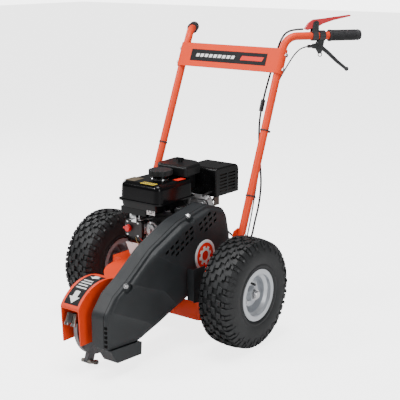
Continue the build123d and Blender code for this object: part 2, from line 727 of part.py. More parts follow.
with BuildPart() as cable_fittings:
    low = at(*ENGAGE_ROUTE[8])
    high = at(*ENGAGE_ROUTE[7])
    joint_dir = (high - low).normalized()
    with BuildSketch(Plane(origin=(low + high) * 0.5 - joint_dir * (JOINT_L / 2), z_dir=joint_dir)):
        Circle(JOINT_R)
        Circle(ENGAGE_R + 0.8, mode=Mode.SUBTRACT)
    extrude(amount=JOINT_L)
    tube_way = Vector(PLATE_LOW[0] - FOOT[0], PLATE_LOW[1] - FOOT[1], PLATE_LOW[2] - FOOT[2])
    for sign, height in TIES:
        share = (height - FOOT[2]) / tube_way.Z
        spot = mirrored([f + share * w for f, w in zip(FOOT, tuple(tube_way))], sign)
        with BuildSketch(Plane(origin=spot, x_dir=(1, 0, 0),
                               z_dir=(sign * tube_way.X, tube_way.Y, tube_way.Z))):
            hole_r = TUBE_R + GAP
            reach = TIE_REACH if sign > 0 else hole_r
            for grow, mode in ((TIE_T, Mode.ADD), (0, Mode.SUBTRACT)):
                with Locations((0, (reach - hole_r) / 2)):
                    RectangleRounded(2 * (hole_r + grow), reach + hole_r + 2 * grow, hole_r + grow - 0.1,
                                     mode=mode)
        extrude(amount=TIE_W)
cable_fittings.part.label = "cable_fittings"
export_step(cable_fittings.part, "parts/cable_fittings.step")


# ================================================================ cutter
lead = degrees(atan2(TOOTH_L / 2, TIP_R - TIP_CAP_R))
TOOTH_CENTRE_R = (TIP_R ** 2 - (TOOTH_L / 2) ** 2) ** 0.5 - TIP_CAP_R
lead = degrees(atan2(TOOTH_L / 2, TOOTH_CENTRE_R + TIP_CAP_R))
TOOTH_ANGLE = 270.0 - degrees(acos(CUTTER_Z / TIP_R)) - lead
TOOTH_SIDE = DISC_T / 2 + TOOTH_R - 0.2
SHAFT_RIGHT = -52.0
SHAFT_LEFT = 139.0

with BuildPart() as cutter_shaft:
    with BuildSketch(side(SHAFT_RIGHT)):
        with Locations((CUTTER_Y, CUTTER_Z)):
            Circle(SHAFT_R)
    extrude(amount=SHAFT_LEFT - SHAFT_RIGHT)
    chamfer(cutter_shaft.faces().filter_by(Axis.X).edges(), 1.5)
cutter_shaft.part.label = "cutter_shaft"
export_step(cutter_shaft.part, "parts/cutter_shaft.step")


def tooth_frames():
    """Plane at each tooth's middle: local x outward, local y the way the tooth moves."""
    frames = []
    for step in range(TEETH_AROUND):
        angle = radians(TOOTH_ANGLE + 360 / TEETH_AROUND * step)
        frames.append((Vector(0, cos(angle), sin(angle)), Vector(0, -sin(angle), cos(angle))))
    return frames


with BuildPart() as cutter_disc:
    with BuildSketch(side(GUARD_X - DISC_T / 2)):
        with Locations((CUTTER_Y, CUTTER_Z)):
            Circle(DISC_R)
            with PolarLocations(118, TEETH_AROUND, start_angle=TOOTH_ANGLE):
                with Locations((0, -5)):
                    Rectangle(36, 30)
            Circle(SHAFT_R, mode=Mode.SUBTRACT)
            with PolarLocations(62, TEETH_AROUND, start_angle=TOOTH_ANGLE + 45):
                Circle(15, mode=Mode.SUBTRACT)
    extrude(amount=DISC_T)
    with BuildSketch(side(GUARD_X - 22)):
        with Locations((CUTTER_Y, CUTTER_Z)):
            Circle(26)
            Circle(SHAFT_R, mode=Mode.SUBTRACT)
    extrude(amount=44)
cutter_disc.part.label = "cutter_disc"
export_step(cutter_disc.part, "parts/cutter_disc.step")

with BuildPart() as cutter_teeth:
    for outward, forward in tooth_frames():
        for lateral in (-TOOTH_SIDE, TOOTH_SIDE):
            middle = at(GUARD_X + lateral, CUTTER_Y, CUTTER_Z) + outward * TOOTH_CENTRE_R
            with BuildSketch(Plane(origin=middle - forward * (TOOTH_L / 2), z_dir=forward)):
                Circle(TOOTH_R)
            extrude(amount=TOOTH_L - TIP_CAP_L)
cutter_teeth.part.label = "cutter_teeth"
export_step(cutter_teeth.part, "parts/cutter_teeth.step")

with BuildPart() as tooth_tips:
    for outward, forward in tooth_frames():
        for lateral in (-TOOTH_SIDE, TOOTH_SIDE):
            middle = at(GUARD_X + lateral, CUTTER_Y, CUTTER_Z) + outward * TOOTH_CENTRE_R
            with BuildSketch(Plane(origin=middle + forward * (TOOTH_L / 2 - TIP_CAP_L), z_dir=forward)):
                Circle(TIP_CAP_R)
            extrude(amount=TIP_CAP_L)
tooth_tips.part.label = "tooth_tips"
export_step(tooth_tips.part, "parts/tooth_tips.step")

with BuildPart() as cutter_bearings:
    for sign, x0 in ((1, GUARD_LEFT), (-1, GUARD_RIGHT)):
        with BuildSketch(side(x0)):
            with Locations((CUTTER_Y, CUTTER_Z)):
                Circle(26)
                with PolarLocations(BEARING_PCD / 2, 2, start_angle=45):
                    Circle(12)
                Circle(SHAFT_R + RUN, mode=Mode.SUBTRACT)
        extrude(amount=sign * 7)
        with BuildSketch(side(x0)):
            with Locations((CUTTER_Y, CUTTER_Z)):
                Circle(24)
                Circle(SHAFT_R + RUN, mode=Mode.SUBTRACT)
        extrude(amount=sign * 20)
        with BuildSketch(side(x0 - sign * (SHEET + 5))):
            with Locations((CUTTER_Y, CUTTER_Z)):
                with PolarLocations(BEARING_PCD / 2, 2, start_angle=45):
                    Circle(BEARING_BOLT_R)
        extrude(amount=sign * (SHEET + 18))
        with BuildSketch(side(x0 + sign * 7)):
            with Locations((CUTTER_Y, CUTTER_Z)):
                with PolarLocations(BEARING_PCD / 2, 2, start_angle=45):
                    RegularPolygon(7, 6)
        extrude(amount=sign * 5)
cutter_bearings.part.label = "cutter_bearings"
export_step(cutter_bearings.part, "parts/cutter_bearings.step")


# ================================================================ belt drive
def pulley(y, z, pitch_r, bore_r, hub_end):
    """V-groove pulley centred on the belt plane."""
    with BuildPart() as wheel:
        rim_r = pitch_r + 5
        floor_r = pitch_r - 9
        with BuildSketch(spin_plane(y, z)):
            with BuildLine():
                Polyline((BELT_X - 13, bore_r), (BELT_X - 13, rim_r), (BELT_X - 9.6, rim_r),
                         (BELT_X - 8.4, floor_r),
                         (BELT_X + 8.4, floor_r), (BELT_X + 9.6, rim_r), (BELT_X + 13, rim_r),
                         (BELT_X + 13, 24),
                         (hub_end, 24), (hub_end, bore_r), close=True)
            make_face()
        revolve(axis=spin_axis(y, z))
    return wheel


cutter_pulley = pulley(CUTTER_Y, CUTTER_Z, CUTTER_PITCH_R, SHAFT_R, BELT_X + 16)
cutter_pulley.part.label = "cutter_pulley"
export_step(cutter_pulley.part, "parts/cutter_pulley.step")
engine_pulley = pulley(ENGINE_Y, CRANK_Z, ENGINE_PITCH_R, CRANK_R, BELT_X + 20)
engine_pulley.part.label = "engine_pulley"
export_step(engine_pulley.part, "parts/engine_pulley.step")

with BuildPart() as drive_belt:
    def belt_loop(grow):
        """Hull of the two pulley circles, as a closed loop."""
        big = Vector(ENGINE_Y, CRANK_Z)
        small = Vector(CUTTER_Y, CUTTER_Z)
        r_big = ENGINE_PITCH_R + grow
        r_small = CUTTER_PITCH_R + grow
        reach = (small - big).length
        heading = atan2(small.Y - big.Y, small.X - big.X)
        wedge = acos((r_big - r_small) / reach)
        corners = []
        for centre, radius in ((big, r_big), (small, r_small)):
            for turn in (heading + wedge, heading - wedge):
                corners.append((centre.X + radius * cos(turn), centre.Y + radius * sin(turn)))
        back = (big.X - r_big * cos(heading), big.Y - r_big * sin(heading))
        front = (small.X + r_small * cos(heading), small.Y + r_small * sin(heading))
        Line(corners[0], corners[2])
        ThreePointArc(corners[2], front, corners[3])
        Line(corners[3], corners[1])
        ThreePointArc(corners[1], back, corners[0])

    with BuildSketch(side(BELT_X - BELT_HALF)):
        with BuildLine():
            belt_loop(4)
        make_face()
        with BuildLine():
            belt_loop(-7)
        make_face(mode=Mode.SUBTRACT)
    extrude(amount=2 * BELT_HALF)
drive_belt.part.label = "drive_belt"
export_step(drive_belt.part, "parts/drive_belt.step")

IDLER = (-261.0, 311.0)
IDLER_R = 24.0
IDLER_PIVOT = (-198.0, 354.0)
IDLER_TAIL = (-152.0, 357.0)
IDLER_PIN_R = 6.0
IDLER_ARM_X = 102.0
IDLER_ARM_T = 5.0
SPRING_TOP = (-124.0, 421.0)
SPRING_X = 96.5

with BuildPart() as idler_arm:
    with BuildSketch(side(IDLER_ARM_X)):
        with BuildLine():
            FilletPolyline((-274, 312), (-262, 298), (-194, 340), (-146, 348), (-146, 365), (-204, 368),
                           radius=6,
                           close=True)
        make_face()
        with Locations(IDLER_PIVOT):
            Circle(IDLER_PIN_R + RUN, mode=Mode.SUBTRACT)
    extrude(amount=IDLER_ARM_T)
    with BuildSketch(side(IDLER_ARM_X)):
        with Locations(IDLER_TAIL):
            Circle(3)
    extrude(amount=-9)
    with BuildSketch(side(IDLER_ARM_X + IDLER_ARM_T)):
        with Locations(IDLER):
            Circle(9)
    extrude(amount=2)
    with BuildSketch(side(IDLER_ARM_X + IDLER_ARM_T)):
        with Locations(IDLER):
            Circle(5)
    extrude(amount=26)
idler_arm.part.label = "idler_arm"
export_step(idler_arm.part, "parts/idler_arm.step")

with BuildPart() as idler_pulley:
    with BuildSketch(spin_plane(*IDLER)):
        with BuildLine():
            Polyline((110, 5 + RUN), (110, IDLER_R + 3), (111.5, IDLER_R + 3), (111.5, IDLER_R),
                     (128.5, IDLER_R),
                     (128.5, IDLER_R + 3), (130, IDLER_R + 3), (130, 5 + RUN), close=True)
        make_face()
    revolve(axis=spin_axis(*IDLER))
idler_pulley.part.label = "idler_pulley"
export_step(idler_pulley.part, "parts/idler_pulley.step")

with BuildPart() as idler_spring:
    spring_foot = at(SPRING_X, IDLER_TAIL[0], IDLER_TAIL[1] + 6)
    spring_head = at(SPRING_X, *SPRING_TOP)
    spring_axis = (spring_head - spring_foot).normalized()
    spring_span = (spring_head - spring_foot).length
    spring_turns = 9
    with BuildLine(Plane(origin=spring_foot, z_dir=spring_axis)):
        coil = Helix(pitch=spring_span / spring_turns, height=spring_span, radius=3.6)
    with BuildSketch(Plane(origin=coil @ 0, z_dir=coil % 0)):
        Circle(0.8)
    sweep(path=coil)
idler_spring.part.label = "idler_spring"
export_step(idler_spring.part, "parts/idler_spring.step")


# ================================================================ belt cover
COVER = [(-516, 101), (-516, 214), (-470, 268), (-405, 305), (-300, 380), (-155, 442), (-2, 471), (96, 442),
         (119, 350), (126, 256), (-62, 256), (-74, 181), (-188, 146), (-262, 121), (-368, 91)]
COVER_RADII = [8, 40, 30, 45, 180, 150, 60, 46, 60, 6, 10, 14, 60, 60, 60]
COVER_BOLTS = [(-426, 292), (-112, 456)]
COVER_NOTCH_R = 15.0
PULLEY_SLOT = (-470.0, -352.0, 118.0)


def cover_face(shrink=0.0):
    """The cover's outline, or the same outline brought in by a wall."""
    with BuildLine() as outline:
        FilletPolyline(*COVER, radius=COVER_RADII, close=True)
    make_face(outline.edges())
    if shrink:
        offset(amount=-shrink, kind=Kind.ARC)


def pulley_slot(x0, x1):
    """Opening in the belly where the lower pulley reaches into the skirt."""
    with BuildSketch(side(x0)) as slot:
        with Locations(((PULLEY_SLOT[0] + PULLEY_SLOT[1]) / 2, PULLEY_SLOT[2] - 30)):
            Rectangle(PULLEY_SLOT[1] - PULLEY_SLOT[0], 60)
    extrude(slot.sketch, amount=x1 - x0, mode=Mode.SUBTRACT)


with BuildPart() as cover_pan:
    with BuildSketch(side(PAN_X)):
        cover_face()
    extrude(amount=SEAM_X - PAN_X)
    fillet(cover_pan.faces().sort_by(Axis.X)[0].edges(), 2.5)
    with BuildSketch(side(PAN_X + COVER_WALL)):
        cover_face(COVER_WALL)
    extrude(amount=SEAM_X - PAN_X, mode=Mode.SUBTRACT)
    with BuildSketch(side(PAN_X - 1)):
        with Locations((ENGINE_Y, CRANK_Z)):
            Circle(38)
        with Locations((CUTTER_Y, CUTTER_Z)):
            Circle(16)
    extrude(amount=COVER_WALL + 4, mode=Mode.SUBTRACT)
    pulley_slot(PAN_X + 8, SEAM_X + 1)
    with BuildSketch(side(PAN_X + COVER_WALL)):
        with Locations(IDLER_PIVOT):
            Circle(10)
    extrude(amount=IDLER_ARM_X - PAN_X - COVER_WALL - GAP)
    with BuildSketch(side(PAN_X + COVER_WALL)):
        with Locations(IDLER_PIVOT):
            Circle(IDLER_PIN_R)
    extrude(amount=IDLER_ARM_X - PAN_X + IDLER_ARM_T)
    cable_in = at(*ENGAGE_ROUTE[19])
    cable_on = at(*ENGAGE_ROUTE[20])
    cable_way = (cable_on - cable_in).normalized()
    with BuildSketch(Plane(origin=cable_in, z_dir=cable_way)):
        Circle(ENGAGE_R + 3)
    extrude(amount=34, mode=Mode.SUBTRACT)
    with BuildSketch(side(PAN_X + COVER_WALL)):
        with Locations((-108, 427)):
            Rectangle(12, 16)
    extrude(amount=16)
    with BuildSketch(facing(-90)):
        with Locations((97, 427)):
            Circle(ENGAGE_R + 0.2)
    extrude(amount=30, mode=Mode.SUBTRACT)
cover_pan.part.label = "cover_pan"
export_step(cover_pan.part, "parts/cover_pan.step")


SLOT_ROWS = [
    ((-238, 364), 5), ((-250, 341), 5), ((-213, 340), 4),
    ((-29, 432), 2), ((-59, 407), 3), ((-34, 396), 3),
]
ROW_TILT = 21.5
SLOT_PITCH = 27.0


def slot_sketch():
    """Slanted vent slots in rows along the top of the cover."""
    step = Vector(cos(radians(ROW_TILT)), sin(radians(ROW_TILT)))
    for (y, z), count in SLOT_ROWS:
        for index in range(count):
            spot = Vector(y, z) + step * (SLOT_PITCH * index)
            with BuildLine() as edge:
                Polyline((spot.X - 12, spot.Y - 6), (spot.X + 2, spot.Y - 5), (spot.X + 12, spot.Y + 6),
                         (spot.X - 2, spot.Y + 5), close=True)
            make_face(edge.edges())


with BuildPart() as cover_shell:
    with BuildSketch(side(SEAM_X + 0.05)):
        cover_face()
    extrude(amount=SHELL_X - SEAM_X)
    fillet(cover_shell.faces().sort_by(Axis.X)[-1].edges(), 5)
    with BuildSketch(side(SEAM_X)):
        cover_face(COVER_WALL)
    extrude(amount=SHELL_X - SEAM_X - COVER_WALL, mode=Mode.SUBTRACT)
    with BuildSketch(side(SHELL_X - 5)):
        slot_sketch()
    extrude(amount=10, mode=Mode.SUBTRACT)
    pulley_slot(SEAM_X, SHELL_X - 8)
    for y, z in COVER_BOLTS:
        with BuildSketch(side(SEAM_X + 12)):
            with Locations((y, z)):
                Circle(COVER_NOTCH_R)
        extrude(amount=40, mode=Mode.SUBTRACT)
cover_shell.part.label = "cover_shell"
export_step(cover_shell.part, "parts/cover_shell.step")

with BuildPart() as cover_skirt:
    with BuildSketch(side(PAN_X + 10)):
        with BuildLine():
            Polyline((-506, 99.5), (-474, 50), (-360, 44), (-357, 86), (-368, 90.6), close=True)
        make_face()
    extrude(amount=SHELL_X - PAN_X - 24)
    with BuildSketch(side(PAN_X + 13)):
        with BuildLine():
            Polyline((-500, 105), (-472, 53), (-363, 47.2), (-360, 110), close=True)
        make_face()
    extrude(amount=SHELL_X - PAN_X - 30, mode=Mode.SUBTRACT)
cover_skirt.part.label = "cover_skirt"
export_step(cover_skirt.part, "parts/cover_skirt.step")

with BuildPart() as cover_bolts:
    for y, z in COVER_BOLTS:
        with BuildSketch(side(SEAM_X + 12.2)):
            with Locations((y, z)):
                Circle(8.5)
        extrude(amount=2)
        with BuildSketch(side(SEAM_X + 14.2)):
            with Locations((y, z)):
                RegularPolygon(7, 6)
        extrude(amount=6)
cover_bolts.part.label = "cover_bolts"
export_step(cover_bolts.part, "parts/cover_bolts.step")


# ================================================================ engine
BLOCK_RIGHT = -56.0
BLOCK_LEFT = 56.0
BLOCK_FRONT = -84.0
BLOCK_TOP = 412.0
ENGINE_BASE_T = 12.0
CYL_TILT = 25.0             # cylinder axis above level, leaning rearward
CYL_START = (30.0, 352.0)
CYL_X = 0.0
CONTROL_Z = 404.5
THROTTLE_PIVOT = (-84.0, -96.0)
DIP_X = -20.0
DIP_Z = 300.0
DIP_TILT = 30.0
dip_dir = Vector(0, -cos(radians(DIP_TILT)), sin(radians(DIP_TILT)))
dip_base = at(DIP_X, BLOCK_FRONT, DIP_Z) + dip_dir * 8.5

with BuildPart() as crankcase:
    with BuildSketch(plan(DECK_TOP)):
        with Locations((1.5, 3)):
            RectangleRounded(149, 188, 10)
        with Locations(*[(x, y) for x in ENGINE_FOOT_X for y in ENGINE_FOOT_Y]):
            Circle(ENGINE_BOLT_R, mode=Mode.SUBTRACT)
    extrude(amount=ENGINE_BASE_T)
    with BuildSketch(side(BLOCK_RIGHT)):
        with BuildLine():
            FilletPolyline((BLOCK_FRONT, DECK_TOP + ENGINE_BASE_T), (BLOCK_FRONT, 385),
                           (BLOCK_FRONT + 40, BLOCK_TOP),
                           (20, BLOCK_TOP), (62, 372), (62, DECK_TOP + ENGINE_BASE_T),
                           radius=[14, 14, 20, 10],
                           close=False)
            Line((62, DECK_TOP + ENGINE_BASE_T), (BLOCK_FRONT, DECK_TOP + ENGINE_BASE_T))
        make_face()
    extrude(amount=BLOCK_LEFT - BLOCK_RIGHT)
    with BuildSketch(side(BLOCK_LEFT)):
        with Locations((ENGINE_Y, CRANK_Z)):
            Circle(58)
    extrude(amount=14)
    with BuildSketch(side(BLOCK_LEFT)):
        with Locations((ENGINE_Y, CRANK_Z)):
            Circle(36)
    extrude(amount=PTO_X + 3 - BLOCK_LEFT)
    with BuildSketch(plan(CONTROL_Z)):
        with Locations((-75, -95)):
            RectangleRounded(50, 38, 5)
        with Locations((-54, -65)):
            RectangleRounded(24, 44, 4)
    extrude(amount=3)
    with BuildSketch(plan(CONTROL_Z + 3)):
        with Locations(THROTTLE_PIVOT):
            Circle(3)
    extrude(amount=6)
    with BuildSketch(Plane(origin=dip_base - dip_dir * GAP, z_dir=dip_dir)):
        Circle(10)
    extrude(amount=-20)
    with BuildSketch(side(BLOCK_RIGHT)):
        with Locations((ENGINE_Y, CRANK_Z)):
            Circle(24)
    extrude(amount=-14)
    with BuildSketch(side(BLOCK_RIGHT - 40)):
        with Locations((ENGINE_Y, CRANK_Z)):
            Circle(CRANK_R + RUN)
    extrude(amount=PTO_X - BLOCK_RIGHT + 60, mode=Mode.SUBTRACT)
crankcase.part.label = "crankcase"
export_step(crankcase.part, "parts/crankcase.step")

cyl_dir = Vector(0, cos(radians(CYL_TILT)), sin(radians(CYL_TILT)))


def barrel_plane(along):
    """Square to the cylinder's axis: local (left, up across the barrel)."""
    origin = at(CYL_X, CYL_START[0], CYL_START[1]) + cyl_dir * along
    return Plane(origin=origin, x_dir=(1, 0, 0), z_dir=(0, -cyl_dir.Y, -cyl_dir.Z))


BARREL_FROM = 54.0
FIN_PITCH = 9.0
FIN_COUNT = 8

with BuildPart() as cylinder:
    with BuildSketch(barrel_plane(BARREL_FROM)):
        Circle(40)
    extrude(amount=-FIN_PITCH * FIN_COUNT)
    for index in range(FIN_COUNT):
        with BuildSketch(barrel_plane(BARREL_FROM + 3 + FIN_PITCH * index)):
            RectangleRounded(104, 90, 14)
        extrude(amount=-3)
cylinder.part.label = "cylinder"
export_step(cylinder.part, "parts/cylinder.step")

HEAD_FROM = BARREL_FROM + FIN_PITCH * FIN_COUNT

with BuildPart() as cylinder_head:
    with BuildSketch(barrel_plane(HEAD_FROM)):
        RectangleRounded(112, 100, 12)
    extrude(amount=-22)
    with BuildSketch(barrel_plane(HEAD_FROM + 22)):
        RectangleRounded(86, 78, 14)
    extrude(amount=-20)
    fillet(cylinder_head.faces().sort_by(Axis.Y)[-1].edges(), 5)
cylinder_head.part.label = "cylinder_head"
export_step(cylinder_head.part, "parts/cylinder_head.step")

FAN_R = 98.0
SHROUD_LOW = 428.0
SHROUD_HIGH = 449.0
FAN_RIGHT = -136.0
FAN_LEFT = -74.0
RECOIL_R = 80.0
RECOIL_RIGHT = -172.0

with BuildPart() as fan_housing:
    with BuildSketch(side(FAN_RIGHT)):
        with Locations((ENGINE_Y, CRANK_Z + 2)):
            Circle(FAN_R)
        with BuildLine():
            Polyline((ENGINE_Y, CRANK_Z + 2 + FAN_R), (92, 432), (124, 404), (110, 360), (ENGINE_Y, CRANK_Z),
                     close=True)
        make_face()
    extrude(amount=FAN_LEFT - FAN_RIGHT)
    with BuildSketch(side(FAN_RIGHT + 3)):
        with Locations((ENGINE_Y, CRANK_Z + 2)):
            Circle(FAN_R - 3)
        with BuildLine():
            Polyline((ENGINE_Y, CRANK_Z + FAN_R - 4), (90, 428), (120, 402), (107, 364), (ENGINE_Y, CRANK_Z),
                     close=True)
        make_face()
    extrude(amount=FAN_LEFT - FAN_RIGHT, mode=Mode.SUBTRACT)
    with BuildSketch(side(FAN_RIGHT - 1)):
        with Locations((ENGINE_Y, CRANK_Z)):
            Circle(70)
    extrude(amount=6, mode=Mode.SUBTRACT)
    with BuildSketch(plan(SHROUD_LOW)):
        with Locations(((FAN_RIGHT - 12) / 2, -92)):
            RectangleRounded(-FAN_RIGHT - 12, 76, 10)
    extrude(amount=SHROUD_HIGH - SHROUD_LOW)
    with BuildSketch(plan(SHROUD_LOW - 1)):
        with Locations(((FAN_RIGHT - 12) / 2, -91)):
            RectangleRounded(-FAN_RIGHT - 18, 72, 7)
    extrude(amount=SHROUD_HIGH - SHROUD_LOW - 2, mode=Mode.SUBTRACT)
    with BuildSketch(side(FAN_RIGHT)):
        with BuildLine():
            Polyline((-62, SHROUD_HIGH), (-56, 413), (-20, 444), (0, SHROUD_HIGH), close=True)
        make_face()
    extrude(amount=3)
fan_housing.part.label = "fan_housing"
export_step(fan_housing.part, "parts/fan_housing.step")

ROPE_R = 2.2
ROPE_FROM = (30.0, 408.0)
ROPE_TILT = 18.0
ROPE_X = -158.0
rope_dir = Vector(0, cos(radians(ROPE_TILT)), sin(radians(ROPE_TILT)))

with BuildPart() as recoil_cap:
    with BuildSketch(side(FAN_RIGHT)):
        with Locations((ENGINE_Y, CRANK_Z)):
            Circle(RECOIL_R)
    extrude(amount=RECOIL_RIGHT - FAN_RIGHT)
    fillet(recoil_cap.faces().sort_by(Axis.X)[0].edges(), 6)
    with BuildSketch(side(FAN_RIGHT)):
        with Locations((ENGINE_Y, CRANK_Z)):
            Circle(RECOIL_R - 3)
    extrude(amount=RECOIL_RIGHT - FAN_RIGHT + 3, mode=Mode.SUBTRACT)
    with BuildSketch(side(RECOIL_RIGHT - 1)):
        with Locations((ENGINE_Y, CRANK_Z)):
            with PolarLocations(46, 12):
                SlotOverall(38, 7)
    extrude(amount=8, mode=Mode.SUBTRACT)
    rope_start = at(ROPE_X, *ROPE_FROM)
    with BuildSketch(Plane(origin=rope_start, z_dir=rope_dir)):
        Circle(ROPE_R + 2)
    extrude(amount=70, mode=Mode.SUBTRACT)
recoil_cap.part.label = "recoil_cap"
export_step(recoil_cap.part, "parts/recoil_cap.step")

with BuildPart() as recoil_handle:
    with BuildSketch(Plane(origin=rope_start - rope_dir * 34, z_dir=rope_dir)):
        Circle(ROPE_R)
    extrude(amount=34 + 66)
    with BuildSketch(Plane(origin=rope_start + rope_dir * 62, x_dir=(1, 0, 0), z_dir=rope_dir)):
        RectangleRounded(24, 62, 11)
    extrude(amount=14)
    fillet(recoil_handle.faces().sort_by(Axis(tuple(rope_start), tuple(rope_dir)))[-1].edges(), 4)
recoil_handle.part.label = "recoil_handle"
export_step(recoil_handle.part, "parts/recoil_handle.step")

with BuildPart() as flywheel:
    with BuildSketch(spin_plane(ENGINE_Y, CRANK_Z)):
        with BuildLine():
            Polyline((-80, CRANK_R), (-80, 84), (-100, 84), (-104, 60), (-112, 60), (-112, CRANK_R),
                     close=True)
        make_face()
    revolve(axis=spin_axis(ENGINE_Y, CRANK_Z))
    with BuildSketch(side(-98)):
        with Locations((ENGINE_Y, CRANK_Z)):
            with PolarLocations(72, 16):
                Rectangle(22, 3)
    extrude(amount=-22)
flywheel.part.label = "flywheel"
export_step(flywheel.part, "parts/flywheel.step")

with BuildPart() as crankshaft:
    with BuildSketch(side(-116)):
        with Locations((ENGINE_Y, CRANK_Z)):
            Circle(CRANK_R)
    extrude(amount=116 + 148)
    chamfer(crankshaft.faces().filter_by(Axis.X).edges(), 1.2)
crankshaft.part.label = "crankshaft"
export_step(crankshaft.part, "parts/crankshaft.step")


# ---------------------------------------------------------------- fuel tank
TANK_RIGHT = -142.0
TANK_LEFT = 56.0
TANK_FRONT = -144.0
TANK_REAR = 68.0
TANK_SEAM = 475.0
TANK_TOP = 543.0
TANK_BOTTOM = 450.0
CAP_X = -34.0
CAP_Y = -28.0
CAP_R = 42.0
CAP_LIFT = 15.0

with BuildPart() as fuel_tank:
    tank_mid = ((TANK_RIGHT + TANK_LEFT) / 2, (TANK_FRONT + TANK_REAR) / 2)
    tank_w = TANK_LEFT - TANK_RIGHT
    tank_d = TANK_REAR - TANK_FRONT
    with BuildSketch(plan(TANK_SEAM + 5)):
        with Locations(tank_mid):
            RectangleRounded(tank_w - 14, tank_d - 14, 26)
    extrude(amount=TANK_TOP - TANK_SEAM - 5, taper=3)
    fillet(fuel_tank.faces().sort_by(Axis.Z)[-1].edges(), 20)
    with BuildSketch(plan(TANK_SEAM)):
        with Locations(tank_mid):
            RectangleRounded(tank_w, tank_d, 28)
    extrude(amount=5)
    with BuildSketch(plan(TANK_SEAM)):
        with Locations(tank_mid):
            RectangleRounded(tank_w - 16, tank_d - 16, 24)
    extrude(amount=TANK_BOTTOM - TANK_SEAM, taper=12)
    with BuildSketch(plan(TANK_TOP - 8)):
        with Locations((CAP_X, CAP_Y)):
            Circle(27)
    extrude(amount=CAP_LIFT + 7)
    with BuildSketch(plan(TANK_TOP - 40)):
        with Locations((CAP_X, CAP_Y)):
            Circle(20)
    extrude(amount=60, mode=Mode.SUBTRACT)
fuel_tank.part.label = "fuel_tank"
export_step(fuel_tank.part, "parts/fuel_tank.step")

with BuildPart() as fuel_cap:
    with BuildSketch(plan(TANK_TOP + CAP_LIFT)):
        with Locations((CAP_X, CAP_Y)):
            Circle(CAP_R)
            with PolarLocations(CAP_R + 1, 12):
                Circle(4, mode=Mode.SUBTRACT)
    extrude(amount=18)
    fillet(fuel_cap.faces().sort_by(Axis.Z)[-1].edges(), 2)
    with BuildSketch(plan(TANK_TOP - 12)):
        with Locations((CAP_X, CAP_Y)):
            Circle(19.7)
    extrude(amount=CAP_LIFT + 12)
fuel_cap.part.label = "fuel_cap"
export_step(fuel_cap.part, "parts/fuel_cap.step")


# ---------------------------------------------------------------- intake and exhaust
CLEANER = [(44, 18), (34, 112), (-6, 146), (-114, 150), (-104, 40), (-84, 18)]
CLEANER_BOTTOM = 550.0
CLEANER_FOOT = 486.0
CLEANER_TOP = 590.0

with BuildPart() as air_cleaner:
    with BuildSketch(plan(CLEANER_BOTTOM)):
        with BuildLine():
            FilletPolyline(*CLEANER, radius=12, close=True)
        make_face()
    extrude(amount=CLEANER_TOP - 6 - CLEANER_BOTTOM)
    fillet(air_cleaner.faces().sort_by(Axis.Z)[-1].edges(), 9)
    with BuildSketch(plan(CLEANER_FOOT)):
        with Locations((-56, 110)):
            RectangleRounded(96, 64, 10)
    extrude(amount=CLEANER_BOTTOM - CLEANER_FOOT)
    with BuildSketch(plan(CLEANER_TOP - 7)):
        with Locations((-36, 84)):
            Circle(9)
    extrude(amount=12)
    with BuildSketch(plan(CLEANER_TOP + 1)):
        with Locations((-36, 84)):
            RectangleRounded(34, 8, 3.5)
    extrude(amount=9)
air_cleaner.part.label = "air_cleaner"
export_step(air_cleaner.part, "parts/air_cleaner.step")

with BuildPart() as carburetor:
    with BuildSketch(plan(448)):
        with Locations((-78, 112)):
            RectangleRounded(38, 50, 8)
    extrude(amount=CLEANER_FOOT - 448)
    with BuildSketch(plan(436)):
        with Locations((-80, 118)):
            Circle(15)
    extrude(amount=14)
    with BuildSketch(side(-62)):
        with Locations((128, 464)):
            Circle(10)
    extrude(amount=34)
carburetor.part.label = "carburetor"
export_step(carburetor.part, "parts/carburetor.step")

CHOKE_PIVOT = (104.0, 474.0)
CHOKE_X = -103.0

with BuildPart() as choke_lever:
    with BuildSketch(side(CHOKE_X)):
        with Locations(CHOKE_PIVOT):
            Circle(7)
        with Locations((CHOKE_PIVOT[0], CHOKE_PIVOT[1] - 15)):
            Rectangle(8, 30)
        with Locations((CHOKE_PIVOT[0], CHOKE_PIVOT[1] - 32)):
            Circle(7)
    extrude(amount=3)
    with BuildSketch(side(CHOKE_X + 3)):
        with Locations(CHOKE_PIVOT):
            Circle(3.5)
    extrude(amount=3 - GAP)
choke_lever.part.label = "choke_lever"
export_step(choke_lever.part, "parts/choke_lever.step")

MUFFLER_RIGHT = -60.0
MUFFLER_LEFT = 72.0
MUFFLER_FRONT = 154.0
MUFFLER_REAR = 296.0
MUFFLER_BOTTOM = 456.0
MUFFLER_TOP = 560.0
MUFFLER_ROUND = 24.0
GUARD_SKIN = 2.0
MUFFLER_PIPE = 12.0

with BuildPart() as muffler:
    muffler_mid = ((MUFFLER_RIGHT + MUFFLER_LEFT) / 2, (MUFFLER_FRONT + MUFFLER_REAR) / 2)
    with BuildSketch(plan(MUFFLER_BOTTOM + 6)):
        with Locations(muffler_mid):
            RectangleRounded(MUFFLER_LEFT - MUFFLER_RIGHT - 16, MUFFLER_REAR - MUFFLER_FRONT - 16, 22)
    extrude(amount=MUFFLER_TOP - MUFFLER_BOTTOM - 14)
    fillet(muffler.faces().filter_by(Axis.Z).edges(), 10)
    with BuildSketch(plan(MUFFLER_BOTTOM + 8)):
        with Locations((0, 190)):
            Circle(12)
    extrude(amount=-MUFFLER_PIPE)
    with BuildSketch(side(57)):
        with Locations((176, 446)):
            Rectangle(30, 50)
    extrude(amount=3)
muffler.part.label = "muffler"
export_step(muffler.part, "parts/muffler.step")

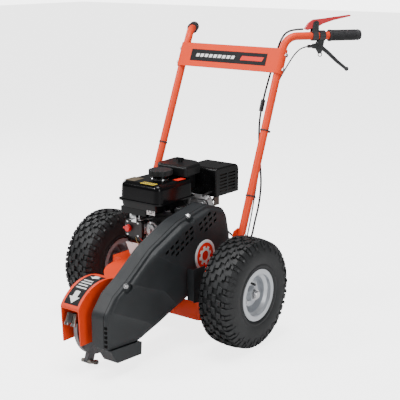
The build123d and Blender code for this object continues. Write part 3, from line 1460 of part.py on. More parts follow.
def guard_section(shrink):
    """Muffler guard seen from the side: open below, large round at the top rear."""
    with BuildLine() as outline:
        front, rear = MUFFLER_FRONT + shrink, MUFFLER_REAR - shrink
        low, high = MUFFLER_BOTTOM - (1 if shrink else 0), MUFFLER_TOP - shrink
        FilletPolyline((front, low), (front, high), (rear, high), (rear, low),
                       radius=[MUFFLER_ROUND / 2 - shrink, MUFFLER_ROUND - shrink], close=False)
        Line((rear, low), (front, low))
    make_face(outline.edges())


with BuildPart() as muffler_guard:
    with BuildSketch(side(MUFFLER_RIGHT)):
        guard_section(0)
    extrude(amount=MUFFLER_LEFT - MUFFLER_RIGHT)
    fillet(muffler_guard.faces().sort_by(Axis.X)[-1].edges().filter_by_position(Axis.Z, MUFFLER_BOTTOM + 1,
            999), 5)
    with BuildSketch(side(MUFFLER_RIGHT + GUARD_SKIN)):
        guard_section(GUARD_SKIN)
    extrude(amount=MUFFLER_LEFT - MUFFLER_RIGHT - 3 * GUARD_SKIN, mode=Mode.SUBTRACT)
    with BuildSketch(side(MUFFLER_LEFT - 6)):
        for row in range(6):
            with Locations((muffler_mid[1] - 26, MUFFLER_BOTTOM + 16 + 12 * row)):
                SlotOverall(44, 5)
            with Locations((muffler_mid[1] + 26, MUFFLER_BOTTOM + 16 + 12 * row)):
                SlotOverall(44, 5)
    extrude(amount=10, mode=Mode.SUBTRACT)
    with BuildSketch(plan(MUFFLER_TOP - 4)):
        with Locations((20, 250)):
            Circle(7)
    extrude(amount=8, mode=Mode.SUBTRACT)
muffler_guard.part.label = "muffler_guard"
export_step(muffler_guard.part, "parts/muffler_guard.step")


# ---------------------------------------------------------------- engine controls at the front
SWITCH_X = -104.0
SWITCH_Z = 372.0
SWITCH_FACE = -116.0
SWITCH_BACK = -91.0

with BuildPart() as switch_box:
    with BuildSketch(facing(SWITCH_BACK)):
        with Locations((-86, SWITCH_Z)):
            RectangleRounded(76, 58, 6)
    extrude(amount=SWITCH_BACK - SWITCH_FACE)
    with BuildSketch(facing(BLOCK_FRONT)):
        with Locations((-58, SWITCH_Z)):
            Rectangle(16, 30)
    extrude(amount=BLOCK_FRONT - SWITCH_BACK + 2)
    with BuildSketch(facing(SWITCH_FACE)):
        with Locations((SWITCH_X, SWITCH_Z)):
            Circle(6)
    extrude(amount=3)
switch_box.part.label = "switch_box"
export_step(switch_box.part, "parts/switch_box.step")

with BuildPart() as switch_knob:
    with BuildSketch(facing(SWITCH_FACE - 3 - GAP)):
        with Locations((SWITCH_X, SWITCH_Z)):
            Circle(12)
    extrude(amount=12)
    fillet(switch_knob.faces().sort_by(Axis.Y)[0].edges(), 3)
    with BuildSketch(facing(SWITCH_FACE - 4)):
        with Locations((SWITCH_X - 12, SWITCH_Z)):
            RectangleRounded(18, 7, 3)
    extrude(amount=7)
switch_knob.part.label = "switch_knob"
export_step(switch_knob.part, "parts/switch_knob.step")

with BuildPart() as oil_dipstick:
    with BuildSketch(Plane(origin=dip_base, z_dir=dip_dir)):
        Circle(13)
    extrude(amount=10)
    with BuildSketch(Plane(origin=dip_base + dip_dir * 10, x_dir=(1, 0, 0), z_dir=dip_dir)):
        RectangleRounded(24, 7, 3)
    extrude(amount=10)
oil_dipstick.part.label = "oil_dipstick"
export_step(oil_dipstick.part, "parts/oil_dipstick.step")

with BuildPart() as throttle_arm:
    with BuildSketch(plan(CONTROL_Z + 3 + GAP)):
        with Locations(THROTTLE_PIVOT):
            Circle(8)
        with Locations((THROTTLE_PIVOT[0], THROTTLE_PIVOT[1] - 15)):
            Rectangle(7, 30)
        with Locations((THROTTLE_PIVOT[0], THROTTLE_PIVOT[1] - 32)):
            Circle(6)
        with Locations(THROTTLE_PIVOT):
            Circle(3 + RUN, mode=Mode.SUBTRACT)
    extrude(amount=2.5)
throttle_arm.part.label = "throttle_arm"
export_step(throttle_arm.part, "parts/throttle_arm.step")
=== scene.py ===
import json
import math
import random

import bmesh
import bpy
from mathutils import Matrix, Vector


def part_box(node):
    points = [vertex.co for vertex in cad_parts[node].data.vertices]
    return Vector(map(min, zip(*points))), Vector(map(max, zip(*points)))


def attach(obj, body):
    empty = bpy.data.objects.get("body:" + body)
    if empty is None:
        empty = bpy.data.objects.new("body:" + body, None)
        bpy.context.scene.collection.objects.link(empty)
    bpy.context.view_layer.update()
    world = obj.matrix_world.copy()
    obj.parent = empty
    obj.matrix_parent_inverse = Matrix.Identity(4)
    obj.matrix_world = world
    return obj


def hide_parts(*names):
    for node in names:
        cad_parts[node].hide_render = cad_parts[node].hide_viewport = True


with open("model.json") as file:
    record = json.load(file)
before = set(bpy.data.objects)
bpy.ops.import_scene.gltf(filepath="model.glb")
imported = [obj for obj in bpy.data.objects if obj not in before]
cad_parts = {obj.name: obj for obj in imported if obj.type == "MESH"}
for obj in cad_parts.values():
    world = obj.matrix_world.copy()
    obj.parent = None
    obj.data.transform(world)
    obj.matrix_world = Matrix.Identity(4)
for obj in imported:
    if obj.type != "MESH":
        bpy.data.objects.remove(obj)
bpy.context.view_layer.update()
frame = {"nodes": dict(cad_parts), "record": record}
nodes = frame["nodes"]
random.seed(7)

AXLE_Y = -33.0      # mm: the axle, from the frame's origin
AXLE_Z = 190.5
TRACK_HALF = 309.0  # middle of each tyre, from the machine's middle plane
ROOT = "machine"


def pt(x, y, z):
    """A point given in mm from the axle's upright plane, in the row frame in metres."""
    return Vector((x, y + AXLE_Y, z)) / 1000.0


# ------------------------------------------------------------------ camera, floor and light
def aim(obj, direction):
    obj.rotation_euler = Vector(direction).to_track_quat("-Z", "Y").to_euler()


azimuth, elevation = math.radians(37.72), math.radians(13.72)
forward = (-math.sin(azimuth) * math.cos(elevation), math.cos(azimuth) * math.cos(elevation),
           -math.sin(elevation))
camera = bpy.data.objects.new("camera", bpy.data.cameras.new("camera"))
bpy.context.scene.collection.objects.link(camera)
camera.location = (2.137, -2.642, 1.288)
camera.data.lens = 88.8
camera.data.sensor_width = 36.0
aim(camera, forward)
bpy.context.scene.camera = camera


def area_light(name, place, target, size, power):
    lamp = bpy.data.lights.new(name, "AREA")
    lamp.shape = "RECTANGLE"
    lamp.size, lamp.size_y = size
    lamp.energy = power
    obj = bpy.data.objects.new(name, lamp)
    bpy.context.scene.collection.objects.link(obj)
    obj.location = place
    aim(obj, Vector(target) - Vector(place))


area_light("key", (-1.8, -2.4, 3.0), (0, 0, 0.4), (1.0, 1.0), 105)
area_light("fill", (3.4, -1.4, 1.6), (0, 0, 0.45), (1.2, 2.0), 52)
area_light("top", (0.4, -0.4, 3.4), (0, 0, 0.3), (1.6, 1.6), 110)
area_light("back", (-3.4, 0.9, 2.3), (0, 0, 0.5), (1.2, 1.2), 55)

SKY_LIGHT, SKY_SEEN = 0.14, 5.0     # strength that lights the machine, and strength that the camera sees
FLOOR_SEEN = 3.2                    # how far the floor is lifted for the camera

world = bpy.data.worlds.new("studio")
world.use_nodes = True
sky = world.node_tree.nodes["Background"]
sky.inputs["Color"].default_value = (1, 1, 1, 1)
path = world.node_tree.nodes.new("ShaderNodeLightPath")
glow = world.node_tree.nodes.new("ShaderNodeMapRange")
glow.inputs["To Min"].default_value = SKY_LIGHT
glow.inputs["To Max"].default_value = SKY_SEEN
world.node_tree.links.new(path.outputs["Is Camera Ray"], glow.inputs["Value"])
world.node_tree.links.new(glow.outputs["Result"], sky.inputs["Strength"])
bpy.context.scene.world = world


# ------------------------------------------------------------------ materials
def surface(name, colour, rough=0.5, metal=0.0, tint=0.2, grain=40.0, rough_vary=0.12, bump=0.05,
            bump_scale=400.0, coat=0.0, second=None, second_amount=0.0, specular=0.5):
    """Mottled colour, uneven roughness and a fine relief; second is the colour of a film of dust or wear."""
    mat = bpy.data.materials.new(name)
    mat.use_nodes = True
    tree = mat.node_tree
    shader = tree.nodes["Principled BSDF"]
    shader.inputs["Metallic"].default_value = metal
    shader.inputs["Coat Weight"].default_value = coat
    shader.inputs["Coat Roughness"].default_value = 0.12
    shader.inputs["Specular IOR Level"].default_value = specular
    coords = tree.nodes.new("ShaderNodeTexCoord")
    noise = tree.nodes.new("ShaderNodeTexNoise")
    noise.inputs["Scale"].default_value = grain
    noise.inputs["Detail"].default_value = 6
    tree.links.new(coords.outputs["Object"], noise.inputs["Vector"])
    ramp = tree.nodes.new("ShaderNodeValToRGB")
    ramp.color_ramp.elements[0].position = 0.3
    ramp.color_ramp.elements[1].position = 0.7
    ramp.color_ramp.elements[0].color = (*[c * (1 - tint) for c in colour], 1)
    ramp.color_ramp.elements[1].color = (*[min(1, c * (1 + tint)) for c in colour], 1)
    tree.links.new(noise.outputs["Fac"], ramp.inputs["Fac"])
    out = ramp.outputs["Color"]
    if second:
        patch = tree.nodes.new("ShaderNodeTexNoise")
        patch.inputs["Scale"].default_value = grain * 0.35
        patch.inputs["Detail"].default_value = 8
        tree.links.new(coords.outputs["Object"], patch.inputs["Vector"])
        share = tree.nodes.new("ShaderNodeMapRange")
        share.inputs["From Min"].default_value = 0.45
        share.inputs["From Max"].default_value = 0.75
        share.inputs["To Max"].default_value = second_amount
        tree.links.new(patch.outputs["Fac"], share.inputs["Value"])
        mix = tree.nodes.new("ShaderNodeMixRGB")
        mix.inputs["Color2"].default_value = (*second, 1)
        tree.links.new(share.outputs["Result"], mix.inputs["Fac"])
        tree.links.new(out, mix.inputs["Color1"])
        out = mix.outputs["Color"]
    tree.links.new(out, shader.inputs["Base Color"])
    spread = tree.nodes.new("ShaderNodeMapRange")
    spread.inputs["To Min"].default_value = max(0.03, rough - rough_vary)
    spread.inputs["To Max"].default_value = min(1, rough + rough_vary)
    tree.links.new(noise.outputs["Fac"], spread.inputs["Value"])
    tree.links.new(spread.outputs["Result"], shader.inputs["Roughness"])
    fine = tree.nodes.new("ShaderNodeTexNoise")
    fine.inputs["Scale"].default_value = bump_scale
    fine.inputs["Detail"].default_value = 3
    tree.links.new(coords.outputs["Object"], fine.inputs["Vector"])
    relief = tree.nodes.new("ShaderNodeBump")
    relief.inputs["Strength"].default_value = bump
    relief.inputs["Distance"].default_value = 0.001
    tree.links.new(fine.outputs["Fac"], relief.inputs["Height"])
    tree.links.new(relief.outputs["Normal"], shader.inputs["Normal"])
    return mat


RED = (0.80, 0.050, 0.008)
MATS = {
    "frame_red": surface("paint_red", RED, 0.42, tint=0.05, grain=9, rough_vary=0.06, bump=0.10,
                         bump_scale=260, specular=0.28, second=(0.62, 0.06, 0.02), second_amount=0.35),
    "brace_red": surface("paint_red_plate", RED, 0.55, tint=0.05, grain=9, rough_vary=0.06, bump=0.10,
                         bump_scale=260, specular=0.18, second=(0.62, 0.06, 0.02), second_amount=0.3),
    "tyre": surface("tyre_rubber", (0.011, 0.012, 0.013), 0.58, tint=0.35, grain=60, bump=0.25,
                    bump_scale=700, second=(0.028, 0.028, 0.029), second_amount=0.35, specular=0.45),
    "wheel_silver": surface("wheel_paint", (0.60, 0.62, 0.65), 0.34, 0.55, tint=0.06, grain=24,
                            bump=0.08, bump_scale=500, second=(0.42, 0.43, 0.45), second_amount=0.4),
    "zinc": surface("zinc_plate", (0.62, 0.62, 0.63), 0.30, 1.0, tint=0.12, grain=90, bump=0.08),
    "small_zinc": surface("zinc_stamping", (0.66, 0.66, 0.67), 0.26, 1.0, tint=0.12, grain=120,
                          bump=0.08),
    "dark_steel": surface("dark_steel", (0.22, 0.22, 0.23), 0.38, 1.0, tint=0.25, grain=50, bump=0.12,
                          second=(0.12, 0.07, 0.05), second_amount=0.5),
    "tooth_steel": surface("tooth_steel", (0.36, 0.34, 0.31), 0.36, 1.0, tint=0.3, grain=70, bump=0.15,
                           second=(0.13, 0.09, 0.06), second_amount=0.55),
    "carbide": surface("carbide", (0.46, 0.45, 0.44), 0.28, 1.0, tint=0.2, grain=120, bump=0.08),
    "bearing_iron": surface("bearing_iron", (0.05, 0.05, 0.055), 0.5, 0.3, tint=0.3, grain=80, bump=0.3,
                            bump_scale=250),
    "pulley_iron": surface("pulley_iron", (0.18, 0.18, 0.19), 0.4, 0.9, tint=0.2, grain=60, bump=0.15),
    "idler_steel": surface("idler_steel", (0.45, 0.45, 0.46), 0.32, 1.0, tint=0.15, grain=60),
    "belt": surface("belt_rubber", (0.02, 0.02, 0.02), 0.7, tint=0.3, grain=90, bump=0.4),
    "cover_plastic": surface("moulded_cover", (0.016, 0.0185, 0.0205), 0.50, tint=0.14, grain=14,
                             rough_vary=0.05, bump=0.22, bump_scale=1500, second=(0.024, 0.027, 0.029),
                             second_amount=0.4, specular=0.35),
    "grip_foam": surface("grip_rubber", (0.016, 0.016, 0.018), 0.66, tint=0.3, grain=120, bump=0.5,
                         bump_scale=1400),
    "cable_jacket": surface("cable_jacket", (0.012, 0.012, 0.013), 0.38, tint=0.25, grain=90,
                            bump=0.05),
    "fitting_black": surface("fitting_plastic", (0.016, 0.016, 0.017), 0.5, tint=0.3, grain=120,
                             bump=0.1),
    "lever_black": surface("lever_paint", (0.022, 0.023, 0.025), 0.34, tint=0.3, grain=60, bump=0.12),
    "lever_red": surface("lever_red", (0.62, 0.02, 0.03), 0.36, tint=0.1, grain=40, bump=0.08,
                         coat=0.2),
    "cast_aluminium": surface("cast_aluminium", (0.50, 0.50, 0.51), 0.48, 0.9, tint=0.16, grain=60,
                              bump=0.5, bump_scale=900, second=(0.16, 0.15, 0.14), second_amount=0.45),
    "flywheel_aluminium": surface("flywheel_aluminium", (0.42, 0.42, 0.43), 0.45, 0.9, grain=60,
                                  bump=0.3),
    "engine_black": surface("enamel_black", (0.003, 0.003, 0.0035), 0.14, tint=0.3, grain=12,
                            rough_vary=0.05, bump=0.03, bump_scale=160, specular=0.22),
    "cap_black": surface("cap_plastic", (0.014, 0.015, 0.016), 0.5, specular=0.3, tint=0.25, grain=80,
                         bump=0.25, bump_scale=900),
    "cleaner_black": surface("cleaner_plastic", (0.007, 0.0075, 0.008), 0.36, tint=0.2, grain=30,
                             rough_vary=0.08, bump=0.2, bump_scale=1200, specular=0.22),
    "muffler_steel": surface("muffler_steel", (0.12, 0.10, 0.09), 0.55, 0.8, tint=0.3, grain=40,
                             bump=0.3, second=(0.14, 0.06, 0.03), second_amount=0.6),
    "muffler_black": surface("heat_paint", (0.006, 0.006, 0.0065), 0.27, tint=0.3, grain=30,
                             rough_vary=0.08, bump=0.12, bump_scale=500, specular=0.22),
    "switch_black": surface("switch_plastic", (0.014, 0.014, 0.015), 0.42, tint=0.25, grain=80,
                            bump=0.15),
    "knob_red": surface("knob_red", (0.72, 0.02, 0.02), 0.3, tint=0.08, grain=60, bump=0.05, coat=0.2),
    "dipstick_plastic": surface("dipstick_plastic", (0.02, 0.022, 0.02), 0.42, tint=0.2, grain=80,
                                bump=0.1),
    "recoil_grip": surface("recoil_grip", (0.016, 0.016, 0.017), 0.5, tint=0.25, grain=90, bump=0.3,
                           bump_scale=900),
}
# near-black matt material: painted shade in the slots and the front vents, and the dark joint line of the
# cover's seam
SHADE_AND_SEAM_DARK = surface("painted_shade_and_seam_dark", (0.003, 0.003, 0.003), 0.9, tint=0.3, grain=60, bump=0.0, specular=0.1)
WHITE = surface("decal_white", (0.80, 0.80, 0.79), 0.4, tint=0.03, grain=60, bump=0.02)
DECAL = surface("decal_black", (0.006, 0.006, 0.007), 0.5, specular=0.15, tint=0.25, grain=60, bump=0.02)
DECAL_RED = surface("decal_red", (0.78, 0.025, 0.012), 0.5, specular=0.2, tint=0.06, grain=60, bump=0.02)
DECAL_YELLOW = surface("decal_yellow", (0.75, 0.56, 0.06), 0.4, tint=0.06, grain=60, bump=0.02)
GREY_TAG = surface("tag_grey", (0.62, 0.62, 0.62), 0.5, tint=0.08, grain=60, bump=0.05)
GREEN = surface("gauge_green", (0.36, 0.60, 0.05), 0.4, tint=0.08, grain=60, bump=0.03)
CHROME = surface("bright_steel", (0.72, 0.73, 0.74), 0.16, 1.0, tint=0.08, grain=80, bump=0.03)
BRASS = surface("brass_fitting", (0.60, 0.42, 0.18), 0.3, 1.0, tint=0.15, grain=90, bump=0.05)
BADGE_SILVER = surface("badge_silver", (0.78, 0.78, 0.79), 0.34, 0.2, tint=0.06, grain=60, bump=0.04)
DECAL_TAN = surface("decal_tan", (0.11, 0.085, 0.055), 0.4, tint=0.2, grain=60, bump=0.02)

for entry in frame["record"]["subparts"]:
    node = nodes[entry["node"]]
    node.data.materials.clear()
    node.data.materials.append(MATS[entry["material_slot"]])


# ------------------------------------------------------------------ mesh helpers
def finish_piece(obj, body, mat, smooth=35.0):
    """Give a piece its material and its body; smooth is the sharp edges' angle in degrees."""
    obj.data.materials.append(mat)
    if obj.type == "MESH":
        obj.data.shade_smooth()
        obj.data.set_sharp_from_angle(angle=math.radians(smooth))
    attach(obj, body)
    return obj


def from_bmesh(name, bm):
    bmesh.ops.recalc_face_normals(bm, faces=bm.faces)
    mesh = bpy.data.meshes.new(name)
    bm.to_mesh(mesh)
    bm.free()
    obj = bpy.data.objects.new(name, mesh)
    bpy.context.scene.collection.objects.link(obj)
    return obj


def add_piece(bm, name, mat, body=ROOT, smooth=35.0):
    return finish_piece(from_bmesh(name, bm), body, mat, smooth)


def lathe(bm, origin, axis, profile, steps):
    """Turned shape: profile is (along, radius) in mm, closed on itself when it ends off the axis."""
    axis = Vector(axis).normalized()
    side = axis.orthogonal().normalized()
    up = axis.cross(side)
    rings = []
    for along, radius in profile:
        ring = []
        for k in range(steps):
            turn = 2 * math.pi * k / steps
            outward = side * math.cos(turn) + up * math.sin(turn)
            ring.append(bm.verts.new(origin + (axis * along + outward * radius) / 1000))
        rings.append(ring)
    for low, high in zip(rings, rings[1:]):
        for k in range(steps):
            bm.faces.new((low[k], low[(k + 1) % steps], high[(k + 1) % steps], high[k]))
    for ring in (rings[0], rings[-1]):
        bm.faces.new(ring)


def turned_piece(name, origin, axis, profile, mat, steps, body=ROOT, smooth=35.0):
    bm = bmesh.new()
    lathe(bm, origin, axis, profile, steps)
    add_piece(bm, name, mat, body, smooth)


def prism(bm, base, top):
    """Block between two matching loops of points."""
    low = [bm.verts.new(p) for p in base]
    high = [bm.verts.new(p) for p in top]
    count = len(low)
    bm.faces.new(low)
    bm.faces.new(high)
    for k in range(count):
        bm.faces.new((low[k], low[(k + 1) % count], high[(k + 1) % count], high[k]))


def box_between(bm, low, high, chamfer):
    """Box in local mm with softened edges."""
    made = bmesh.ops.create_cube(bm, size=1.0)["verts"]
    a, b = pt(*low), pt(*high)
    for v in made:
        v.co = Vector([a[i] + (v.co[i] + 0.5) * (b[i] - a[i]) for i in range(3)])
    if chamfer:
        edges = list({e for v in made for e in v.link_edges})
        bmesh.ops.bevel(bm, geom=edges, offset=chamfer / 1000, segments=2, affect="EDGES", profile=0.5,
                        material=0)


def box_piece(name, boxes, chamfer, mat):
    """Piece made of boxes, each given by two opposite corners."""
    bm = bmesh.new()
    for low, high in boxes:
        box_between(bm, low, high, chamfer)
    add_piece(bm, name, mat)


def tube(name, points, radius, mat):
    """Round bar or wire along points in local mm."""
    curve = bpy.data.curves.new(name, "CURVE")
    curve.dimensions = "3D"
    curve.bevel_depth = radius / 1000
    curve.bevel_resolution = 3
    curve.use_fill_caps = True
    spline = curve.splines.new("NURBS")
    spline.points.add(len(points) - 1)
    for p, place in zip(spline.points, points):
        p.co = (*pt(*place), 1)
    spline.order_u = 3
    spline.use_endpoint_u = True
    obj = bpy.data.objects.new(name, curve)
    bpy.context.scene.collection.objects.link(obj)
    return finish_piece(obj, ROOT, mat)


def rounded(corners, radii, steps=8):
    """Closed outline with tangent arcs at its corners."""
    out = []
    count = len(corners)
    for k in range(count):
        before, here, after = (Vector(corners[(k + s) % count]) for s in (-1, 0, 1))
        a, b = (before - here).normalized(), (after - here).normalized()
        half = a.angle(b) / 2
        reach = radii[k] / math.tan(half)
        centre = here + (a + b).normalized() * (radii[k] / math.sin(half))
        start, end = here + a * reach - centre, here + b * reach - centre
        total = start.angle_signed(end)
        for s in range(steps + 1):
            turn = -total * s / steps
            out.append(centre + Vector((start.x * math.cos(turn) - start.y * math.sin(turn),
                                        start.x * math.sin(turn) + start.y * math.cos(turn))))
    return out


# ------------------------------------------------------------------ control cables, on the CAD's route points
ENGAGE_ROUTE = [
    (253.9, 425.7, 1046), (235.7, 406.7, 1046), (212, 378, 1037), (197, 366, 1006), (192, 351, 968),
    (187, 337, 926), (178, 326, 876), (169, 312, 818), (167, 287, 742), (181, 262, 676), (200, 240, 612),
    (220, 219.5, 562), (240, 195, 512), (249, 168, 448), (246, 148, 392), (236, 146, 336), (204, 156, 306),
    (160, 162, 312), (124, 152, 342), (101, 124, 372), (97, 84, 396), (97, 30, 416), (97, -40, 428),
    (97, -100, 427),
]
BRAKE_ROUTE = [
    (273.4, 453.5, 985), (257.3, 430.6, 985), (240, 402, 966), (224, 370, 918), (212, 331, 864),
    (209, 302, 796), (212, 269, 716), (217, 238, 636), (220, 205, 556), (227, 173, 476), (232, 145, 404),
    (233, 124, 350), (229, 116, 302), (229, 102, 262), (230, 78, 246), (230, 48, 250),
]
for name, route, radius, length in (("engagement_cable", ENGAGE_ROUTE, 3.5, 1.234),
                                    ("brake_cable", BRAKE_ROUTE, 2.5, 0.895)):
    jacket = tube(name + "_jacket", route, radius, MATS["cable_jacket"])
    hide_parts(name)


# ------------------------------------------------------------------ knobby tyres
TREAD_R = 190.0                 # turns a length along the tread into an angle
CROWN_R, CROWN_FALL = 190.3, 0.0021
TYRE_STEPS = 104
PITCHES = 27                    # tread patterns round the tyre
KNOB_INSET = 1.3                # a block's top is this much smaller all round
# half of the carcass from the bead to the crown, as (across, radius)
CARCASS = [(54, 76.6), (56.2, 80), (56.4, 91), (60, 96), (62.5, 99), (62.5, 104), (61, 107), (64, 118),
           (65.3, 132), (64.2, 148), (61, 161), (57, 170), (50, 176.5), (38, 179.5), (20, 181.5), (0, 182)]
# tread blocks of one pitch: how deep the foot lies, and the corners as (across, along)
BLOCKS = (
    (9, ((1.5, 0), (16, 3), (16, 27), (1.5, 24))),
    (9, ((19, 16), (35, 20), (35, 37), (27, 37), (27, 44), (19, 42))),
    (10, ((38.5, -2), (53, 1), (53, 21), (38.5, 18))),
    (10, ((40, 25), (50, 27), (50, 39), (40, 37))),
)
# lugs on the shoulder: radius of the lower end, start and width along the tread
LUGS = ((150.0, 1, 20), (163.0, 26, 12))


def tread_top(x):
    return CROWN_R - CROWN_FALL * x * x


def tyre(sign, side_name):
    bm = bmesh.new()

    def place(x, r, angle):
        return pt(TRACK_HALF * sign + x, r * math.cos(angle), AXLE_Z + r * math.sin(angle))

    def knob(corners, drop):
        """Tread block from its corners (across, along the ground)."""
        mid_x = sum(c[0] for c in corners) / len(corners)
        mid_s = sum(c[1] for c in corners) / len(corners)
        base, rim, top = [], [], []
        for x, s in corners:
            r = tread_top(x)
            base.append(place(x * 1.01, r - drop, s / TREAD_R))
            rim.append(place(x, r - 1.2, s / TREAD_R))
            fx, fs = mid_x - x, mid_s - s
            size = math.hypot(fx, fs)
            top_s = s + fs / size * KNOB_INSET
            top.append(place(x + fx / size * KNOB_INSET, tread_top(x), top_s / TREAD_R))
        prism(bm, base, rim)
        prism(bm, rim, top)

    def lug(flip, low_r, lo, hi):
        """Shoulder lug from the tread down to low_r, between two angles."""
        outer = [(53, tread_top(53) - 0.2), (59.5, 172), (64.6, low_r + 6), (65.2, low_r)]
        inner = [(50, 176), (56.0, 168), (62.5, low_r + 4), (63.4, low_r)]
        for a, b, c, d in zip(outer, outer[1:], inner, inner[1:]):
            prism(bm, [place(flip * c[0], c[1], lo), place(flip * c[0], c[1], hi),
                       place(flip * d[0], d[1], hi), place(flip * d[0], d[1], lo)],
                  [place(flip * a[0], a[1], lo + 0.006), place(flip * a[0], a[1], hi - 0.006),
                   place(flip * b[0], b[1], hi - 0.006), place(flip * b[0], b[1], lo + 0.006)])

    profile = [(-x, r) for x, r in CARCASS] + [(x, r) for x, r in reversed(CARCASS[:-1])]
    rings = [[bm.verts.new(place(x, r, 2 * math.pi * k / TYRE_STEPS)) for k in range(TYRE_STEPS)]
             for x, r in profile]
    for low, high in zip(rings, rings[1:] + rings[:1]):
        for k in range(TYRE_STEPS):
            bm.faces.new((low[k], low[(k + 1) % TYRE_STEPS], high[(k + 1) % TYRE_STEPS], high[k]))
    pitch = 2 * math.pi * TREAD_R / PITCHES
    for k in range(PITCHES):
        jog = random.uniform(-0.5, 0.5)
        for flip in (-1, 1):
            shift = k * pitch + (0.5 * pitch if flip > 0 else 0) + jog
            for drop, corners in BLOCKS:
                knob([(flip * x, shift + along) for x, along in corners], drop)
            for low_r, start, width in LUGS:
                lug(flip, low_r, (shift + start) / TREAD_R, (shift + start + width) / TREAD_R)
    obj = add_piece(bm, "tyre_tread_" + side_name, MATS["tyre"], "wheel_" + side_name, 28)
    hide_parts("tyre_" + side_name)


tyre(1, "left")
tyre(-1, "right")

# valve stems and hub nuts
for sign, side_name in ((1, "left"), (-1, "right")):
    wheel = "wheel_" + side_name
    angle = math.radians(118)
    foot = pt(sign * (TRACK_HALF + 37), 56 * math.cos(angle), AXLE_Z + 56 * math.sin(angle))
    turned_piece("valve_stem_" + side_name, foot, (sign * 0.9, 0, -0.2),
                 [(-6, 5.5), (0, 5.5), (4, 4), (16, 3.6), (17, 4.2), (27, 4.2), (28, 3)],
                 MATS["fitting_black"], 20, wheel)
    bm = bmesh.new()
    for k in range(4):
        turn = math.radians(45 + 90 * k)
        spot = pt(sign * (TRACK_HALF + 24), 36 * math.cos(turn), AXLE_Z + 36 * math.sin(turn))
        lathe(bm, spot, (sign, 0, 0), [(-1, 7), (2.4, 7), (2.6, 5.6), (6.8, 5.6), (7.6, 4.6)], 6)
    add_piece(bm, "hub_nuts_" + side_name, MATS["zinc"], wheel)


# ------------------------------------------------------------------ belt cover, outer shell
COVER = [(-516, 101), (-516, 214), (-470, 268), (-405, 305), (-300, 380), (-155, 442), (-2, 471), (96, 442),
         (119, 350), (126, 256), (-62, 256), (-74, 181), (-188, 146), (-262, 121), (-368, 91)]
COVER_RADII = [8, 40, 30, 45, 180, 150, 60, 46, 60, 6, 10, 14, 60, 60, 60]
SEAM, FACE = 140.3, 172.0
STEP_X = 151.0                  # everything further out than this sinks at the creases
# section of the shell from the seam to the face: x, and how far inside the outline
RIM = [(SEAM, 0), (148.5, 0), (151, 1.2), (152.6, 4), (153.2, 8.2), (155, 9.8), (160, 10.8), (165, 13),
       (168.6, 16.5), (170.9, 21.5), (171.8, 27), (FACE, 33)]
CREASES = [((-340, 376), (-271, 355), (-176, 300)), ((-402, 293), (-250, 231), (-188, 169)),
           ((-490, 222), (-330, 146), (-282, 108))]
CREASE_DROP, CREASE_FADE = 6.4, 15.0
GRID = 9                        # the shell is cut into strips this wide, so that it can sink smoothly
# slot rows: first slot (y, z) and number of slots; then a slot's half height and where slots and notches end
SLOTS = (((-242, 361), 3), ((-213, 353), 5), ((-189, 344), 4), ((-141, 405), 2), ((-66, 421), 3),
         ((-60, 403), 4), ((-34, 393), 3))
SLOT_WAY = Vector((25.2, 11.4))
SLOT_HALF = SLOT_WAY.normalized() * 8.8
SLOT_RISE = Vector((0, 4.6))
SLOT_FLOOR, NOTCH_FLOOR, CUT_TOP = 157, 153.4, 180
NOTCHES = (((-419, 285), 120), ((-106, 447), 110))      # middle (y, z), and the way it opens in degrees
NOTCH_R, NOTCH_REACH = 18, 60


def inset(corners, radii, depth):
    """The outline moved inwards by depth, with its arcs to match."""
    area = sum(a[0] * b[1] - b[0] * a[1] for a, b in zip(corners, corners[1:] + corners[:1]))
    turn = 1 if area > 0 else -1
    moved, bends = [], []
    for k, here in enumerate(corners):
        here, before, after = Vector(here), Vector(corners[k - 1]), Vector(corners[(k + 1) % len(corners)])
        a, b = (here - before).normalized(), (after - here).normalized()
        in_a, in_b = turn * Vector((-a.y, a.x)), turn * Vector((-b.y, b.x))
        moved.append(tuple(here + (in_a + in_b) * (depth / (1 + in_a.dot(in_b)))))
        convex = (a.x * b.y - a.y * b.x) * turn > 0
        bends.append(max(radii[k] - depth, 2.0) if convex else radii[k] + depth)
    return rounded(moved, bends)


def below_line(p, q, y, z):
    """Distance of (y, z) below the line from p to q."""
    way = (Vector(q) - Vector(p)).normalized()
    return (y - p[0]) * way.y - (z - p[1]) * way.x


def crease_depths(y, z):
    return [min(below_line(a, b, y, z), below_line(b, c, y, z)) for a, b, c in CREASES]


bm = bmesh.new()
loops = [[bm.verts.new(pt(x, *p)) for p in inset(COVER, COVER_RADII, depth)] for x, depth in RIM]
for low, high in zip(loops, loops[1:]):
    for k in range(len(low)):
        bm.faces.new((low[k], low[(k + 1) % len(low)], high[(k + 1) % len(low)], high[k]))
bm.faces.new(loops[0])
bm.faces.new(loops[-1])
bmesh.ops.remove_doubles(bm, verts=bm.verts, dist=0.0002)
cuts = [(pt(0, y, 0), (0, 1, 0)) for y in range(-510, 125, GRID)]
cuts += [(pt(0, 0, z), (0, 0, 1)) for z in range(100, 470, GRID)]
for a, b, c in CREASES:
    for p, q in ((a, b), (b, c)):
        way = (Vector(q) - Vector(p)).normalized()
        for lift in (0, 4):
            cuts.append((pt(0, p[0] + way.y * lift, p[1] - way.x * lift), (0, way.y, -way.x)))
for place, normal in cuts:
    everything = bm.verts[:] + bm.edges[:] + bm.faces[:]
    bmesh.ops.bisect_plane(bm, geom=everything, plane_co=place, plane_no=normal)
for v in bm.verts:
    x, y, z = v.co.x * 1000, v.co.y * 1000 - AXLE_Y, v.co.z * 1000
    if x > STEP_X:
        drop = sum(CREASE_DROP * (1 - math.exp(-s / CREASE_FADE)) for s in crease_depths(y, z) if s > 0)
        v.co.x = (STEP_X + (x - STEP_X) * (1 - drop / (FACE - STEP_X))) / 1000
shell = from_bmesh("cover_outer_shell", bm)
cutter = bmesh.new()
